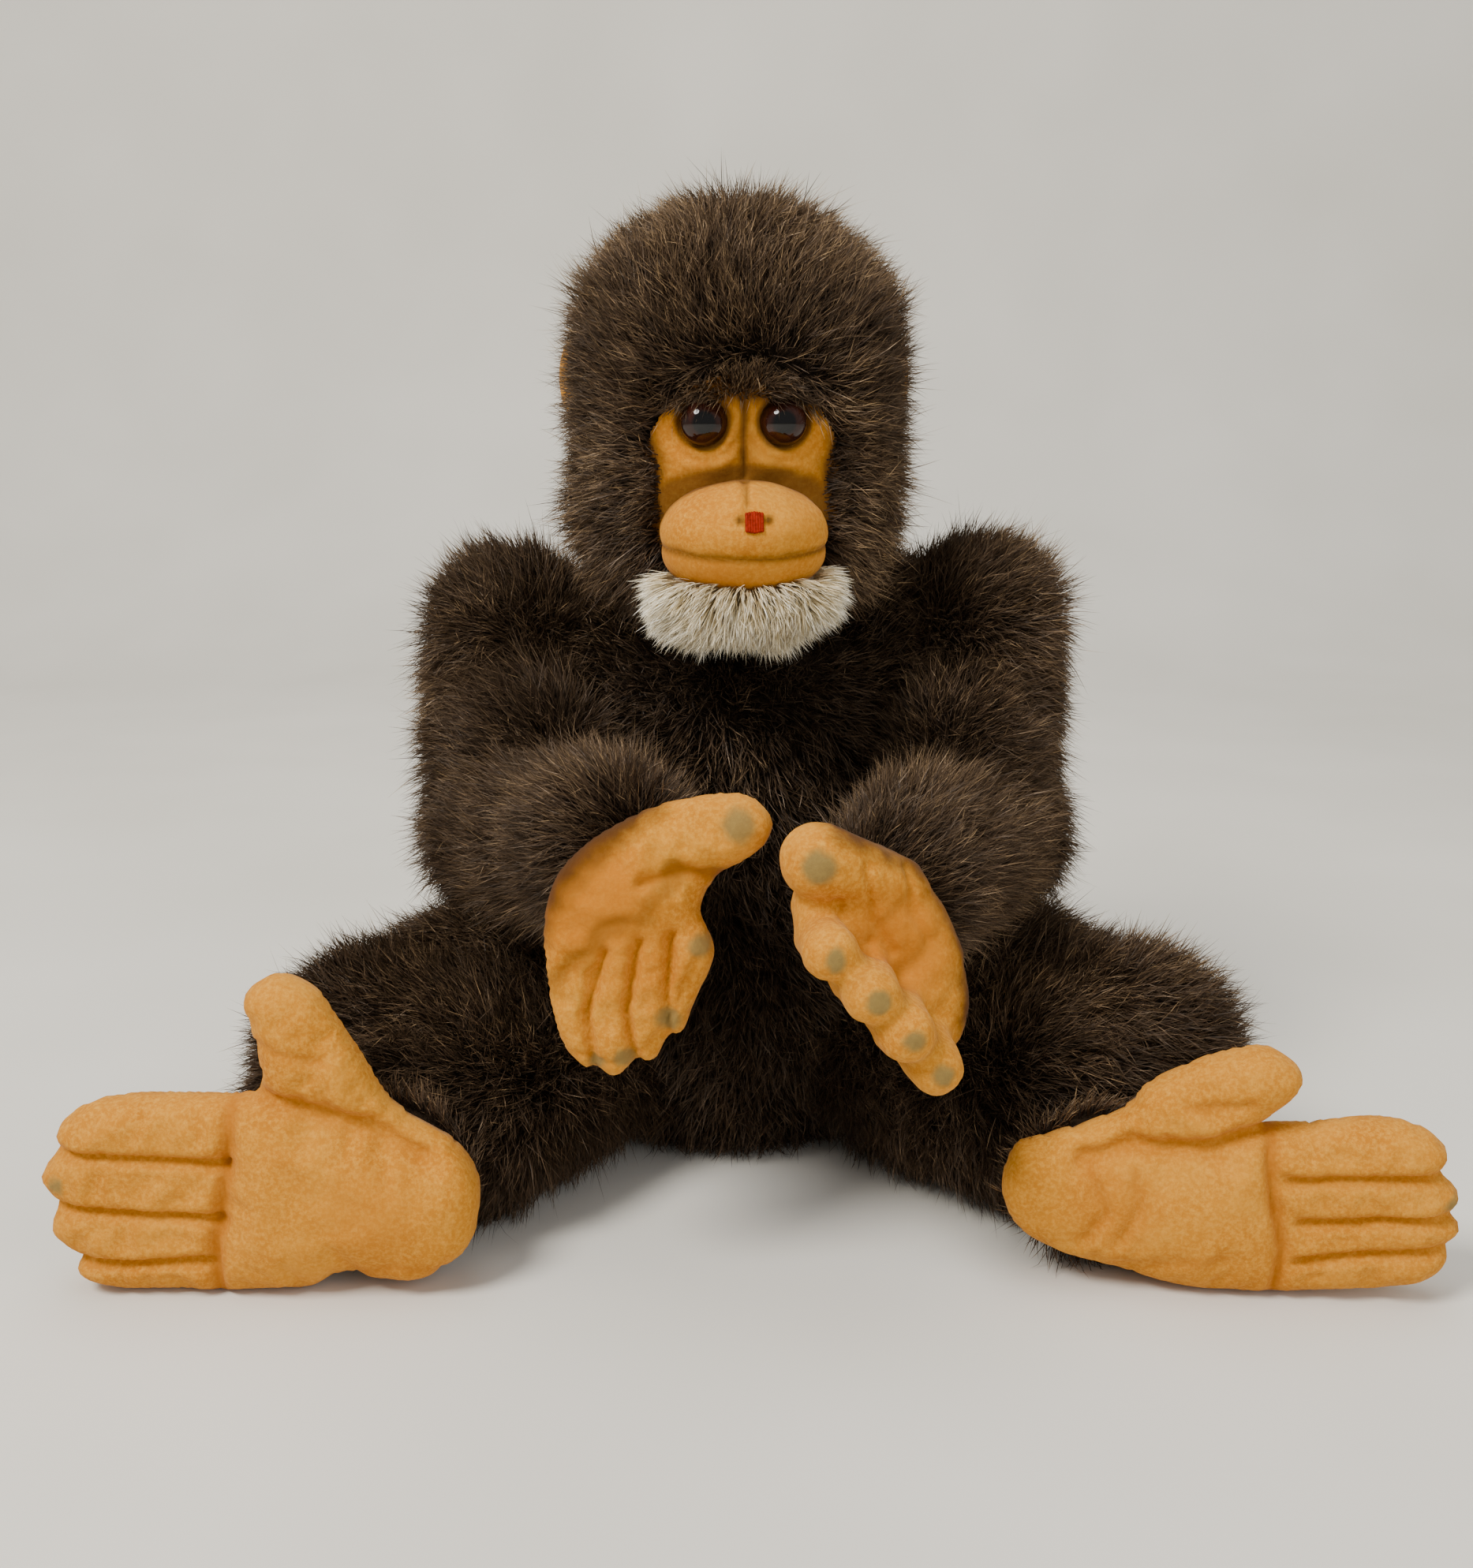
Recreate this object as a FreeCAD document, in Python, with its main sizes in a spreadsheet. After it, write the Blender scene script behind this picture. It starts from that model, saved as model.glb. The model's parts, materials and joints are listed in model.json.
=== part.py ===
import FreeCAD, Part
import math
import os
import Sketcher
from FreeCAD import Placement, Rotation, Vector

# A floppy plush monkey that sits on the ground. +X is the toy's left, -Y is the way it faces, +Z is
# up, and the origin is the middle of the flat seat under the body. Every size is in millimetres.
# Each limb is a fabric cover round a separate filling. Covers are drawn to half the depth of the pile.

# Driving dimensions: alias, value, meaning.
DIMENSIONS = [
    ("cover_wall", 5, "thickness of a fur cover, backing and packed pile"),
    ("fit_gap", 0.3, "room between a cover and its filling"),
    ("velour_wall", 3, "thickness of a velour panel with its wadding"),
    # Body
    ("body_height", 146, "seat to the flat on top of the shoulders"),
    ("seat_radius", 47, "body radius low down"),
    ("chest_radius", 42, "body radius at the chest"),
    ("seat_round", 22, "rounding between seat and side"),
    ("shoulder_round", 15, "rounding between chest and top"),
    ("bag_height", 20, "pellet bag height"),
    ("bag_radius", 26, "pellet bag radius"),
    ("bag_round", 8, "pellet bag edge rounding"),
    ("bag_back", 12, "pellet bag behind the seat's middle"),
    ("bag_lift", 7, "underside of the pellet bag above the ground"),
    # Neck and head
    ("neck_radius", 15, "radius of the neck filling"),
    ("neck_forward", 12, "neck joint ahead of the seat's middle"),
    ("neck_lift", 150, "neck joint above the ground"),
    ("head_turn_rest", 2.5, "head turned to the toy's left, degrees"),
    ("chin_lift", 3, "underside of the head above the neck joint"),
    ("head_top", 107, "crown of the head above the neck joint"),
    ("head_radius", 42, "head radius"),
    ("chin_round", 24, "rounding under the head"),
    ("crown_round", 38, "rounding over the head"),
    ("face_radius", 23, "radius of the face opening's ends"),
    ("face_lift", 36, "lower end centre of the face opening"),
    ("face_rise", 3, "distance between the opening's end centres"),
    ("eye_radius", 6, "plastic eye radius"),
    ("eye_dome", 4.8, "height of the eye's dome"),
    ("eye_spread", 9.9, "eye centre from the middle of the face"),
    ("eye_lift", 52.5, "eye centre above the neck joint"),
    ("eye_depth", 40.5, "flat back of the eye ahead of the neck joint"),
    ("shank_radius", 1.8, "radius of the eye's shank"),
    ("shank_length", 8, "length of the eye's shank"),
    ("washer_radius", 5.5, "locking washer radius"),
    ("washer_depth", 33.8, "front of the washer ahead of the neck joint"),
    ("washer_thickness", 1.2, "locking washer thickness"),
    ("muzzle_half_width", 21, "muzzle half width"),
    ("muzzle_half_depth", 18, "muzzle half depth"),
    ("muzzle_half_height", 12, "muzzle half height"),
    ("muzzle_lift", 26, "muzzle centre above the neck joint"),
    ("muzzle_forward", 43, "muzzle centre ahead of the neck joint"),
    ("lip_half_width", 19, "lower lip half width"),
    ("lip_half_depth", 14, "lower lip half depth"),
    ("lip_half_height", 7.5, "lower lip half height"),
    ("lip_lift", 17.5, "lower lip centre above the neck joint"),
    ("lip_forward", 44, "lower lip centre ahead of the neck joint"),
    ("beard_half_width", 26, "beard half width"),
    ("beard_half_depth", 15, "beard half depth"),
    ("beard_half_height", 12, "beard half height"),
    ("beard_lift", 7, "beard centre above the neck joint"),
    ("beard_forward", 40, "beard centre ahead of the neck joint"),
    ("nose_width", 5.4, "embroidered nose width"),
    ("nose_height", 5, "embroidered nose height"),
    ("nose_depth", 3, "embroidered nose depth"),
    ("nose_lift", 29.5, "nose centre above the neck joint"),
    ("ear_half_thickness", 4, "ear half thickness"),
    ("ear_half_depth", 8, "ear half depth"),
    ("ear_half_height", 11, "ear half height"),
    ("ear_out", 43.5, "ear centre from the middle of the head"),
    ("ear_back", 14, "ear centre behind the neck joint"),
    ("ear_lift", 63, "ear centre above the neck joint"),
    # Arms
    ("shoulder_radius", 20, "rounded top of the upper arm"),
    ("elbow_end_radius", 17, "rounded lower end of the upper arm"),
    ("elbow_root_radius", 17, "rounded elbow end of the forearm"),
    ("joint_gap", 0.8, "room between two rounded ends at a joint"),
    ("wrist_radius", 19, "rounded wrist end of the forearm"),
    ("shoulder_filling_radius", 14.5, "wad of filling at the shoulder"),
    ("palm_radius", 13.5, "half the palm from cuff to fingers"),
    ("palm_run", 17, "distance between the palm outline's centres, across the hand"),
    ("palm_offset", 14, "middle of the palm past the wrist"),
    ("palm_filling", 7.6, "thickness of the palm's wadding"),
    ("finger_radius", 5.7, "finger radius"),
    ("finger_run", 19, "distance between a finger's end centres"),
    ("finger_pitch", 10.4, "distance from one finger to the next"),
    ("thumb_radius", 8.5, "thumb radius"),
    # Legs
    ("hip_radius", 25, "rounded hip end of the leg"),
    ("ankle_radius", 31, "rounded ankle end of the leg"),
    ("hip_filling_radius", 18, "wad of filling at the hip"),
    ("heel_radius", 20, "sole outline radius at the heel"),
    ("ball_radius", 24, "sole outline radius at the ball of the foot"),
    ("sole_length", 16, "distance between the sole outline's centres"),
    ("sole_start", 5, "heel centre past the ankle"),
    ("foot_filling", 11, "thickness of the foot's wadding"),
    ("toe_radius", 6.1, "toe radius"),
    ("toe_run", 38, "distance between a toe's end centres"),
    ("toe_pitch", 11.6, "distance from one toe to the next"),
    ("big_toe_radius", 9, "big toe radius"),
]

# Joint centres in the toy's own frame. The two sides differ a little because the toy is floppy.
JOINTS = {
    "right": {
        "shoulder": Vector(-62.7, 0, 142),
        "elbow": Vector(-61, -28, 90),
        "wrist": Vector(-33, -84, 104),
        "hip": Vector(-48, -30, 31),
        "ankle": Vector(-76, -67, 31),
    },
    "left": {
        "shoulder": Vector(67, 0, 145),
        "elbow": Vector(66, -25, 92),
        "wrist": Vector(42, -82, 94),
        "hip": Vector(48, -30, 31),
        "ankle": Vector(84, -64, 31),
    },
}

# Hands: the way the fingers point, the way the palm faces, the bend of the fingers towards the palm,
# and the two ends of the thumb as (across the hand, towards the fingers, ahead of the palm's middle).
HANDS = {
    "right": {
        "fingers": Vector(0.2, -0.07, -0.97),
        "palm": Vector(-0.05, -0.98, 0.19),
        "bend": 12,
        "thumb": [(-15, 10, 0), (-33, 8, 3)],
    },
    "left": {
        "fingers": Vector(-0.69, -0.32, -0.63),
        "palm": Vector(0.3, -0.93, 0.14),
        "bend": 80,
        "thumb": [(13, 9, 2), (31, 20, 6)],
    },
}

# Feet: the way the toes point, and the two ends of the big toe as (towards the toes, up, sole side).
FEET = {
    "right": {"toes": Vector(-1, 0, 0), "big_toe": [(17, 20, 37), (32, 43, 40)]},
    "left": {"toes": Vector(0.995, -0.1, 0), "big_toe": [(21, 24, 37), (47, 36, 40)]},
}

SIDES = ("right", "left")
UP = Vector(0, 0, 1)

# Working allowances.
ENVELOPE_GAP = 0.3
SOCKET_GAP = 0.6
HIP_ROOM = 3.5
WASHER_ROOM = 1.2
FACE_ROOM = 0.5
TOE_RISE = 1
PANEL_CLEAR = 0.6
NOSE_PROUD = 0.4
PANEL_GAP = 0.1
LAYER_ROOM = 2 * PANEL_GAP + 2 * ENVELOPE_GAP
SKETCH_AXIS_X = -1
SKETCH_AXIS_Y = -2
START, END, CENTRE = 1, 2, 3

doc = FreeCAD.newDocument("plush_monkey")
sheet = doc.addObject("Spreadsheet::Sheet", "Dims")
for row, (alias, size, meaning) in enumerate(DIMENSIONS, start=1):
    sheet.set(f"A{row}", meaning)
    sheet.set(f"B{row}", str(size))
    sheet.setAlias(f"B{row}", alias)
doc.recompute()

nodes = []


def value(expression):
    """The number that an expression over the sheet's aliases has now."""
    return float(sheet.evalExpression(expression))


def node(feature, name):
    """Name a finished piece and remember it for writing."""
    feature.Label = name
    nodes.append(feature)
    return feature


def origin_plane(body, role):
    return next(plane for plane in body.Origin.OriginFeatures if plane.Role == role)


def new_body(name):
    return doc.addObject("PartDesign::Body", name)


def new_sketch(body, role, lift=None):
    """A sketch on one of the body's own origin planes, moved along its normal by lift."""
    sketch = body.newObject("Sketcher::SketchObject", body.Name + "_sketch")
    sketch.AttachmentSupport = [(origin_plane(body, role), "")]
    sketch.MapMode = "FlatFace"
    if lift:
        sketch.setExpression("AttachmentOffset.Base.z", lift)
    return sketch


def bind(sketch, constraint, name, expression):
    """Add a sized constraint, name it and tie it to the sheet."""
    index = sketch.addConstraint(constraint)
    sketch.renameConstraint(index, name)
    sketch.setExpression(f"Constraints.{name}", expression)


def arc(centre_x, centre_y, radius, start_degrees, end_degrees):
    circle = Part.Circle(Vector(centre_x, centre_y, 0), Vector(0, 0, 1), radius)
    return Part.ArcOfCircle(circle, math.radians(start_degrees), math.radians(end_degrees))


def close_on_axis(sketch, first, first_end, last, last_end):
    """Shut a half outline with a line down the Y axis."""
    low = sketch.getPoint(first, first_end)
    high = sketch.getPoint(last, last_end)
    closing = sketch.addGeometry(Part.LineSegment(high, low), False)
    sketch.addConstraint(Sketcher.Constraint("Coincident", closing, START, last, last_end))
    sketch.addConstraint(Sketcher.Constraint("Coincident", closing, END, first, first_end))
    sketch.addConstraint(Sketcher.Constraint("PointOnObject", first, first_end, SKETCH_AXIS_Y))
    sketch.addConstraint(Sketcher.Constraint("PointOnObject", last, last_end, SKETCH_AXIS_Y))


def limb_outline(sketch, root, tip, run):
    """Half outline of a round-ended taper: root radius at the origin, tip radius at a distance run."""
    root_radius, tip_radius, length = value(root), value(tip), value(run)
    slant = math.degrees(math.asin((root_radius - tip_radius) / length))
    first = sketch.addGeometry(arc(0, 0, root_radius, -90, slant), False)
    second = sketch.addGeometry(arc(0, length, tip_radius, slant, 90), False)
    side = sketch.addGeometry(
        Part.LineSegment(sketch.getPoint(first, END), sketch.getPoint(second, START)), False
    )
    sketch.addConstraint(Sketcher.Constraint("Coincident", first, CENTRE, SKETCH_AXIS_X, START))
    sketch.addConstraint(Sketcher.Constraint("PointOnObject", second, CENTRE, SKETCH_AXIS_Y))
    sketch.addConstraint(Sketcher.Constraint("Tangent", first, END, side, START))
    sketch.addConstraint(Sketcher.Constraint("Tangent", side, END, second, START))
    bind(sketch, Sketcher.Constraint("Radius", first, root_radius), "root_radius", root)
    bind(sketch, Sketcher.Constraint("Radius", second, tip_radius), "tip_radius", tip)
    run_constraint = Sketcher.Constraint("DistanceY", SKETCH_AXIS_X, START, second, CENTRE, length)
    bind(sketch, run_constraint, "run", run)
    close_on_axis(sketch, first, START, second, END)


def barrel_outline(sketch, low, high, low_radius, high_radius, low_round, high_round):
    """Half outline of a tapered barrel between two heights, with its two edges rounded."""
    base, top = value(low), value(high)
    wide, narrow = value(low_radius), value(high_radius)
    under, over = value(low_round), value(high_round)
    low_centre = Vector(wide - under, base + under, 0)
    high_centre = Vector(narrow - over, top - over, 0)
    span = high_centre - low_centre
    slant = math.degrees(math.asin((under - over) / span.Length) - math.atan2(span.x, span.y))
    floor = sketch.addGeometry(Part.LineSegment(Vector(0, base, 0), Vector(low_centre.x, base, 0)), False)
    under_arc = sketch.addGeometry(arc(low_centre.x, low_centre.y, under, -90, slant), False)
    over_arc = sketch.addGeometry(arc(high_centre.x, high_centre.y, over, slant, 90), False)
    side = sketch.addGeometry(
        Part.LineSegment(sketch.getPoint(under_arc, END), sketch.getPoint(over_arc, START)), False
    )
    roof = sketch.addGeometry(Part.LineSegment(Vector(high_centre.x, top, 0), Vector(0, top, 0)), False)
    sketch.addConstraint(Sketcher.Constraint("Horizontal", floor))
    sketch.addConstraint(Sketcher.Constraint("Horizontal", roof))
    sketch.addConstraint(Sketcher.Constraint("Tangent", floor, END, under_arc, START))
    sketch.addConstraint(Sketcher.Constraint("Tangent", under_arc, END, side, START))
    sketch.addConstraint(Sketcher.Constraint("Tangent", side, END, over_arc, START))
    sketch.addConstraint(Sketcher.Constraint("Tangent", over_arc, END, roof, START))
    bind(sketch, Sketcher.Constraint("Radius", under_arc, under), "low_round", low_round)
    bind(sketch, Sketcher.Constraint("Radius", over_arc, over), "high_round", high_round)
    low_across = Sketcher.Constraint("DistanceX", SKETCH_AXIS_X, START, under_arc, CENTRE, low_centre.x)
    bind(sketch, low_across, "low_across", f"{low_radius} - ({low_round})")
    high_across = Sketcher.Constraint("DistanceX", SKETCH_AXIS_X, START, over_arc, CENTRE, high_centre.x)
    bind(sketch, high_across, "high_across", f"{high_radius} - ({high_round})")
    if base:
        bind(sketch, Sketcher.Constraint("DistanceY", SKETCH_AXIS_X, START, floor, START, base), "low", low)
    else:
        sketch.addConstraint(Sketcher.Constraint("PointOnObject", floor, START, SKETCH_AXIS_X))
    bind(sketch, Sketcher.Constraint("DistanceY", SKETCH_AXIS_X, START, roof, END, top), "high", high)
    close_on_axis(sketch, floor, START, roof, END)


def ball_outline(sketch, radius):
    """Half disc centred on the origin."""
    size = value(radius)
    half = sketch.addGeometry(arc(0, 0, size, -90, 90), False)
    sketch.addConstraint(Sketcher.Constraint("Coincident", half, CENTRE, SKETCH_AXIS_X, START))
    bind(sketch, Sketcher.Constraint("Radius", half, size), "ball_radius", radius)
    close_on_axis(sketch, half, START, half, END)


def link_outline(sketch, root, tip, run, start=None):
    """Full outline round two circles on the Y axis, the first at a distance start from the origin."""
    root_radius, tip_radius, length = value(root), value(tip), value(run)
    base = value(start) if start else 0
    slant = math.degrees(math.asin((root_radius - tip_radius) / length))
    first = sketch.addGeometry(arc(0, base, root_radius, 180 - slant, 360 + slant), False)
    second = sketch.addGeometry(arc(0, base + length, tip_radius, slant, 180 - slant), False)
    right_side = sketch.addGeometry(
        Part.LineSegment(sketch.getPoint(first, END), sketch.getPoint(second, START)), False
    )
    left_side = sketch.addGeometry(
        Part.LineSegment(sketch.getPoint(second, END), sketch.getPoint(first, START)), False
    )
    if start:
        sketch.addConstraint(Sketcher.Constraint("PointOnObject", first, CENTRE, SKETCH_AXIS_Y))
        start_constraint = Sketcher.Constraint("DistanceY", SKETCH_AXIS_X, START, first, CENTRE, base)
        bind(sketch, start_constraint, "start", start)
    else:
        sketch.addConstraint(Sketcher.Constraint("Coincident", first, CENTRE, SKETCH_AXIS_X, START))
    sketch.addConstraint(Sketcher.Constraint("PointOnObject", second, CENTRE, SKETCH_AXIS_Y))
    sketch.addConstraint(Sketcher.Constraint("Tangent", first, END, right_side, START))
    sketch.addConstraint(Sketcher.Constraint("Tangent", right_side, END, second, START))
    sketch.addConstraint(Sketcher.Constraint("Tangent", second, END, left_side, START))
    sketch.addConstraint(Sketcher.Constraint("Tangent", left_side, END, first, START))
    bind(sketch, Sketcher.Constraint("Radius", first, root_radius), "root_radius", root)
    bind(sketch, Sketcher.Constraint("Radius", second, tip_radius), "tip_radius", tip)
    run_constraint = Sketcher.Constraint("DistanceY", first, CENTRE, second, CENTRE, length)
    bind(sketch, run_constraint, "run", run)


def turned(body, outline, *sizes):
    """Add a full turn of a half outline round the body's Z axis."""
    sketch = new_sketch(body, "XZ_Plane")
    outline(sketch, *sizes)
    feature = body.newObject("PartDesign::Revolution", body.Name + "_turned")
    feature.Profile = sketch
    feature.ReferenceAxis = (sketch, ["V_Axis"])
    feature.Angle = 360
    return feature


def hollowed(body, outline, *sizes):
    """Cut a full turn of a half outline round the body's Z axis, and check that it cuts."""
    doc.recompute()
    before = body.Shape.Volume
    sketch = new_sketch(body, "XZ_Plane")
    outline(sketch, *sizes)
    feature = body.newObject("PartDesign::Groove", body.Name + "_hollow")
    feature.Profile = sketch
    feature.ReferenceAxis = (sketch, ["V_Axis"])
    feature.Angle = 360
    doc.recompute()
    if body.Shape.Volume >= before - 1:
        raise RuntimeError(body.Name + ": the groove cuts nothing")
    return feature


def aimed(start, end):
    """Placement that puts the local origin at start and the local Z axis towards end."""
    return Placement(start, Rotation(UP, end - start))


def framed(origin, along, facing):
    """Placement whose local Y runs along and whose local Z faces as near to facing as it can."""
    return Placement(origin, Rotation(along.cross(facing), along, facing, "YZX"))


def less_wall(size):
    return f"{size} - Dims.cover_wall"


def less_fit(size):
    return f"{size} - Dims.cover_wall - Dims.fit_gap"


def limb(name, placement, root, tip, run, root_socket):
    """A tapered limb: a fur cover, and a filling that leaves the root free for its own wad."""
    cover = new_body(name + "_cover")
    turned(cover, limb_outline, root, tip, run)
    hollowed(cover, limb_outline, less_wall(root), less_wall(tip), run)
    cover.Placement = placement
    node(cover, name + "_cover")
    filling = new_body(name + "_stuffing")
    turned(filling, limb_outline, less_fit(root), less_fit(tip), run)
    if root_socket:
        hollowed(filling, ball_outline, root_socket)
    filling.Placement = placement
    node(filling, name + "_stuffing")


def ball(name, centre, radius):
    """A round wad of filling."""
    body = new_body(name)
    turned(body, ball_outline, radius)
    body.Placement = Placement(centre, Rotation())
    return node(body, name)


def plate(name, placement, root, tip, run, lift, thickness, start=None):
    """A flat piece with a two-circle outline, standing between lift and lift + thickness."""
    body = new_body(name)
    sketch = new_sketch(body, "XY_Plane", lift)
    link_outline(sketch, root, tip, run, start)
    pad = body.newObject("PartDesign::Pad", name + "_pad")
    pad.Profile = sketch
    pad.setExpression("Length", thickness)
    body.Placement = placement
    return body


def digits(name, placement, radius, run, pitch, count):
    """A row of round-ended fingers or toes in one sewn piece, side by side along local X."""
    body = new_body(name)
    rod = turned(body, limb_outline, radius, radius, run)
    doc.recompute()
    row = body.newObject("PartDesign::LinearPattern", name + "_row")
    row.Originals = [rod]
    row.Direction = (rod.Profile[0], ["H_Axis"])
    row.setExpression("Length", f"({pitch}) * {count - 1}")
    row.Occurrences = count
    body.Tip = row
    body.Placement = placement
    return body


def primitive(kind, name, placement, **sizes):
    """A Part primitive whose sizes are tied to the sheet."""
    solid = doc.addObject(kind, name)
    for size, expression in sizes.items():
        solid.setExpression(size, expression)
    solid.Placement = placement
    return solid


def ellipsoid(name, centre, across, deep, high, grow="", turn=0):
    """Egg shape with its three half sizes along X, Y and Z; turn moves its seam round."""
    solid = primitive(
        "Part::Ellipsoid", name, Placement(centre, Rotation(UP, turn)),
        Radius1=high + grow, Radius2=across + grow, Radius3=deep + grow,
    )
    solid.Angle1 = -90
    solid.Angle2 = 90
    return solid


def without(name, base, *tools):
    """Base with each tool cut away in turn."""
    for number, tool in enumerate(tools):
        cut = doc.addObject("Part::Cut", f"{name}_cut{number}")
        cut.Base = base
        cut.Tool = tool
        base = cut
    return base


# ---------------------------------------------------------------- body

def make_body():
    """Pear-like fur cover, its filling, and the bag of pellets that makes the toy sit."""
    sockets = [primitive("Part::Sphere", "neck_socket", Placement(neck_centre(), Rotation()),
                         Radius=f"Dims.neck_radius + {SOCKET_GAP}")]
    for side in SIDES:
        hip = Placement(JOINTS[side]["hip"], Rotation())
        sockets.append(primitive("Part::Sphere", side + "_hip_socket", hip,
                                 Radius=f"Dims.hip_radius + {HIP_ROOM}"))
    cover = new_body("body_shell")
    turned(cover, barrel_outline, "0", "Dims.body_height", "Dims.seat_radius", "Dims.chest_radius",
           "Dims.seat_round", "Dims.shoulder_round")
    hollowed(cover, barrel_outline, "Dims.cover_wall", less_wall("Dims.body_height"),
             less_wall("Dims.seat_radius"), less_wall("Dims.chest_radius"),
             less_wall("Dims.seat_round"), less_wall("Dims.shoulder_round"))
    node(without("body_cover", cover, *sockets), "body_cover")

    filling = new_body("body_filling")
    turned(filling, barrel_outline, "Dims.cover_wall + Dims.fit_gap", less_fit("Dims.body_height"),
           less_fit("Dims.seat_radius"), less_fit("Dims.chest_radius"),
           less_fit("Dims.seat_round"), less_fit("Dims.shoulder_round"))
    node(without("body_stuffing", filling, *sockets, bag_shape("bag_room", PANEL_GAP)), "body_stuffing")
    node(bag_shape("pellet_bag", 0), "pellet_bag")


def bag_shape(name, grow):
    """The pellet bag, or the room for it."""
    bag = new_body(name)
    turned(bag, barrel_outline, f"Dims.bag_lift - {grow}", f"Dims.bag_lift + Dims.bag_height + {grow}",
           f"Dims.bag_radius + {grow}", f"Dims.bag_radius + {grow}", "Dims.bag_round", "Dims.bag_round")
    bag.Placement = Placement(Vector(0, value("Dims.bag_back"), 0), Rotation())
    return bag


# ---------------------------------------------------------------- head

def neck_centre():
    return Vector(0, -value("Dims.neck_forward"), value("Dims.neck_lift"))


def head_placement():
    """The head's pieces are built round the neck joint and then moved together."""
    return Placement(neck_centre(), Rotation(UP, value("Dims.head_turn_rest")))


def head_piece(feature, name):
    feature.Placement = head_placement()
    return node(feature, name)


def forward(depth, lift, across=0):
    """A point in the head's frame from how far it is ahead of and above the neck joint."""
    return Vector(across, -value(depth), value(lift))


def head_barrel(inset):
    """Sizes of the head's outline with its surface moved in by inset."""
    return (f"Dims.chin_lift + ({inset})", f"Dims.head_top - ({inset})",
            f"Dims.head_radius - ({inset})", f"Dims.head_radius - ({inset})",
            f"Dims.chin_round - ({inset})", f"Dims.crown_round - ({inset})")


def face_pocket(body, lift, grow):
    """Cut the face opening from the sketch plane forwards, and check that it cuts."""
    doc.recompute()
    before = body.Shape.Volume
    sketch = new_sketch(body, "XZ_Plane", lift)
    edge = f"Dims.face_radius + {grow}"
    link_outline(sketch, edge, edge, "Dims.face_rise", "Dims.face_lift")
    pocket = body.newObject("PartDesign::Pocket", body.Name + "_face")
    pocket.Profile = sketch
    pocket.Reversed = True
    pocket.setExpression("Length", "Dims.head_radius")
    doc.recompute()
    if body.Shape.Volume >= before - 1:
        raise RuntimeError(body.Name + ": the face opening cuts nothing")


def make_head():
    """Fur cover with a face opening, and a filling that stops short behind the face."""
    ball("neck_stuffing", neck_centre(), "Dims.neck_radius")
    cover = new_body("head_cover")
    turned(cover, barrel_outline, *head_barrel("0"))
    hollowed(cover, barrel_outline, *head_barrel("Dims.cover_wall"))
    hollowed(cover, ball_outline, f"Dims.neck_radius + {SOCKET_GAP}")
    face_pocket(cover, None, 0)
    head_piece(cover, "head_cover")

    filling = new_body("head_stuffing")
    turned(filling, barrel_outline, *head_barrel("Dims.cover_wall + Dims.fit_gap"))
    hollowed(filling, ball_outline, f"Dims.neck_radius + {SOCKET_GAP}")
    face_pocket(filling, f"Dims.washer_depth - Dims.washer_thickness - {WASHER_ROOM}", FACE_ROOM)
    head_piece(filling, "head_stuffing")


def eye_place(hand):
    """Eye centre with local Z looking out of the face."""
    centre = Vector(hand * value("Dims.eye_spread"), -value("Dims.eye_depth"), value("Dims.eye_lift"))
    return Placement(centre, Rotation(UP, Vector(0, -1, 0)))


def eye_outline(sketch, radius, dome, shank, length):
    """Half outline of a domed eye with its shank behind it."""
    wide, high, thin, deep = value(radius), value(dome), value(shank), value(length)
    centre = (high ** 2 - wide ** 2) / (2 * high)
    curve = high - centre
    rim = math.degrees(math.asin(-centre / curve))
    points = [Vector(0, -deep, 0), Vector(thin, -deep, 0), Vector(thin, 0, 0), Vector(wide, 0, 0)]
    lines = [sketch.addGeometry(Part.LineSegment(a, b), False) for a, b in zip(points, points[1:])]
    cap = sketch.addGeometry(arc(0, centre, curve, rim, 90), False)
    for first, second in zip(lines, lines[1:]):
        sketch.addConstraint(Sketcher.Constraint("Coincident", first, END, second, START))
    sketch.addConstraint(Sketcher.Constraint("Coincident", lines[-1], END, cap, START))
    sketch.addConstraint(Sketcher.Constraint("Horizontal", lines[0]))
    sketch.addConstraint(Sketcher.Constraint("Vertical", lines[1]))
    sketch.addConstraint(Sketcher.Constraint("PointOnObject", lines[1], END, SKETCH_AXIS_X))
    sketch.addConstraint(Sketcher.Constraint("Horizontal", lines[2]))
    sketch.addConstraint(Sketcher.Constraint("PointOnObject", cap, CENTRE, SKETCH_AXIS_Y))
    sizes = (
        ("DistanceX", lines[1], END, thin, "shank_radius", shank),
        ("DistanceX", cap, START, wide, "eye_radius", radius),
        ("DistanceY", lines[0], START, -deep, "shank_end", f"-({length})"),
        ("DistanceY", cap, END, high, "dome", dome),
    )
    for kind, shape, point, size, name, expression in sizes:
        bind(sketch, Sketcher.Constraint(kind, SKETCH_AXIS_X, START, shape, point, size), name, expression)
    close_on_axis(sketch, lines[0], START, cap, END)


def make_eyes():
    """Two domed safety eyes, each held by a locking washer behind the face."""
    holes = []
    for side, hand in (("right", -1), ("left", 1)):
        eye = new_body(side + "_eye")
        turned(eye, eye_outline, "Dims.eye_radius", "Dims.eye_dome", "Dims.shank_radius", "Dims.shank_length")
        eye.Placement = head_placement() * eye_place(hand)
        node(eye, side + "_eye")

        washer_place = eye_place(hand)
        washer_place.Base.y = -value("Dims.washer_depth") + value("Dims.washer_thickness")
        disc = primitive("Part::Cylinder", side + "_disc", washer_place,
                         Radius="Dims.washer_radius", Height="Dims.washer_thickness")
        hole_place = eye_place(hand)
        hole_place.Base.y = 0
        hole = primitive("Part::Cylinder", side + "_shank_hole", hole_place,
                         Radius=f"Dims.shank_radius + {PANEL_GAP}", Height="Dims.head_radius")
        holes.append(hole)
        head_piece(without(side + "_washer", disc, hole), side + "_eye_washer")
    return holes


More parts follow.
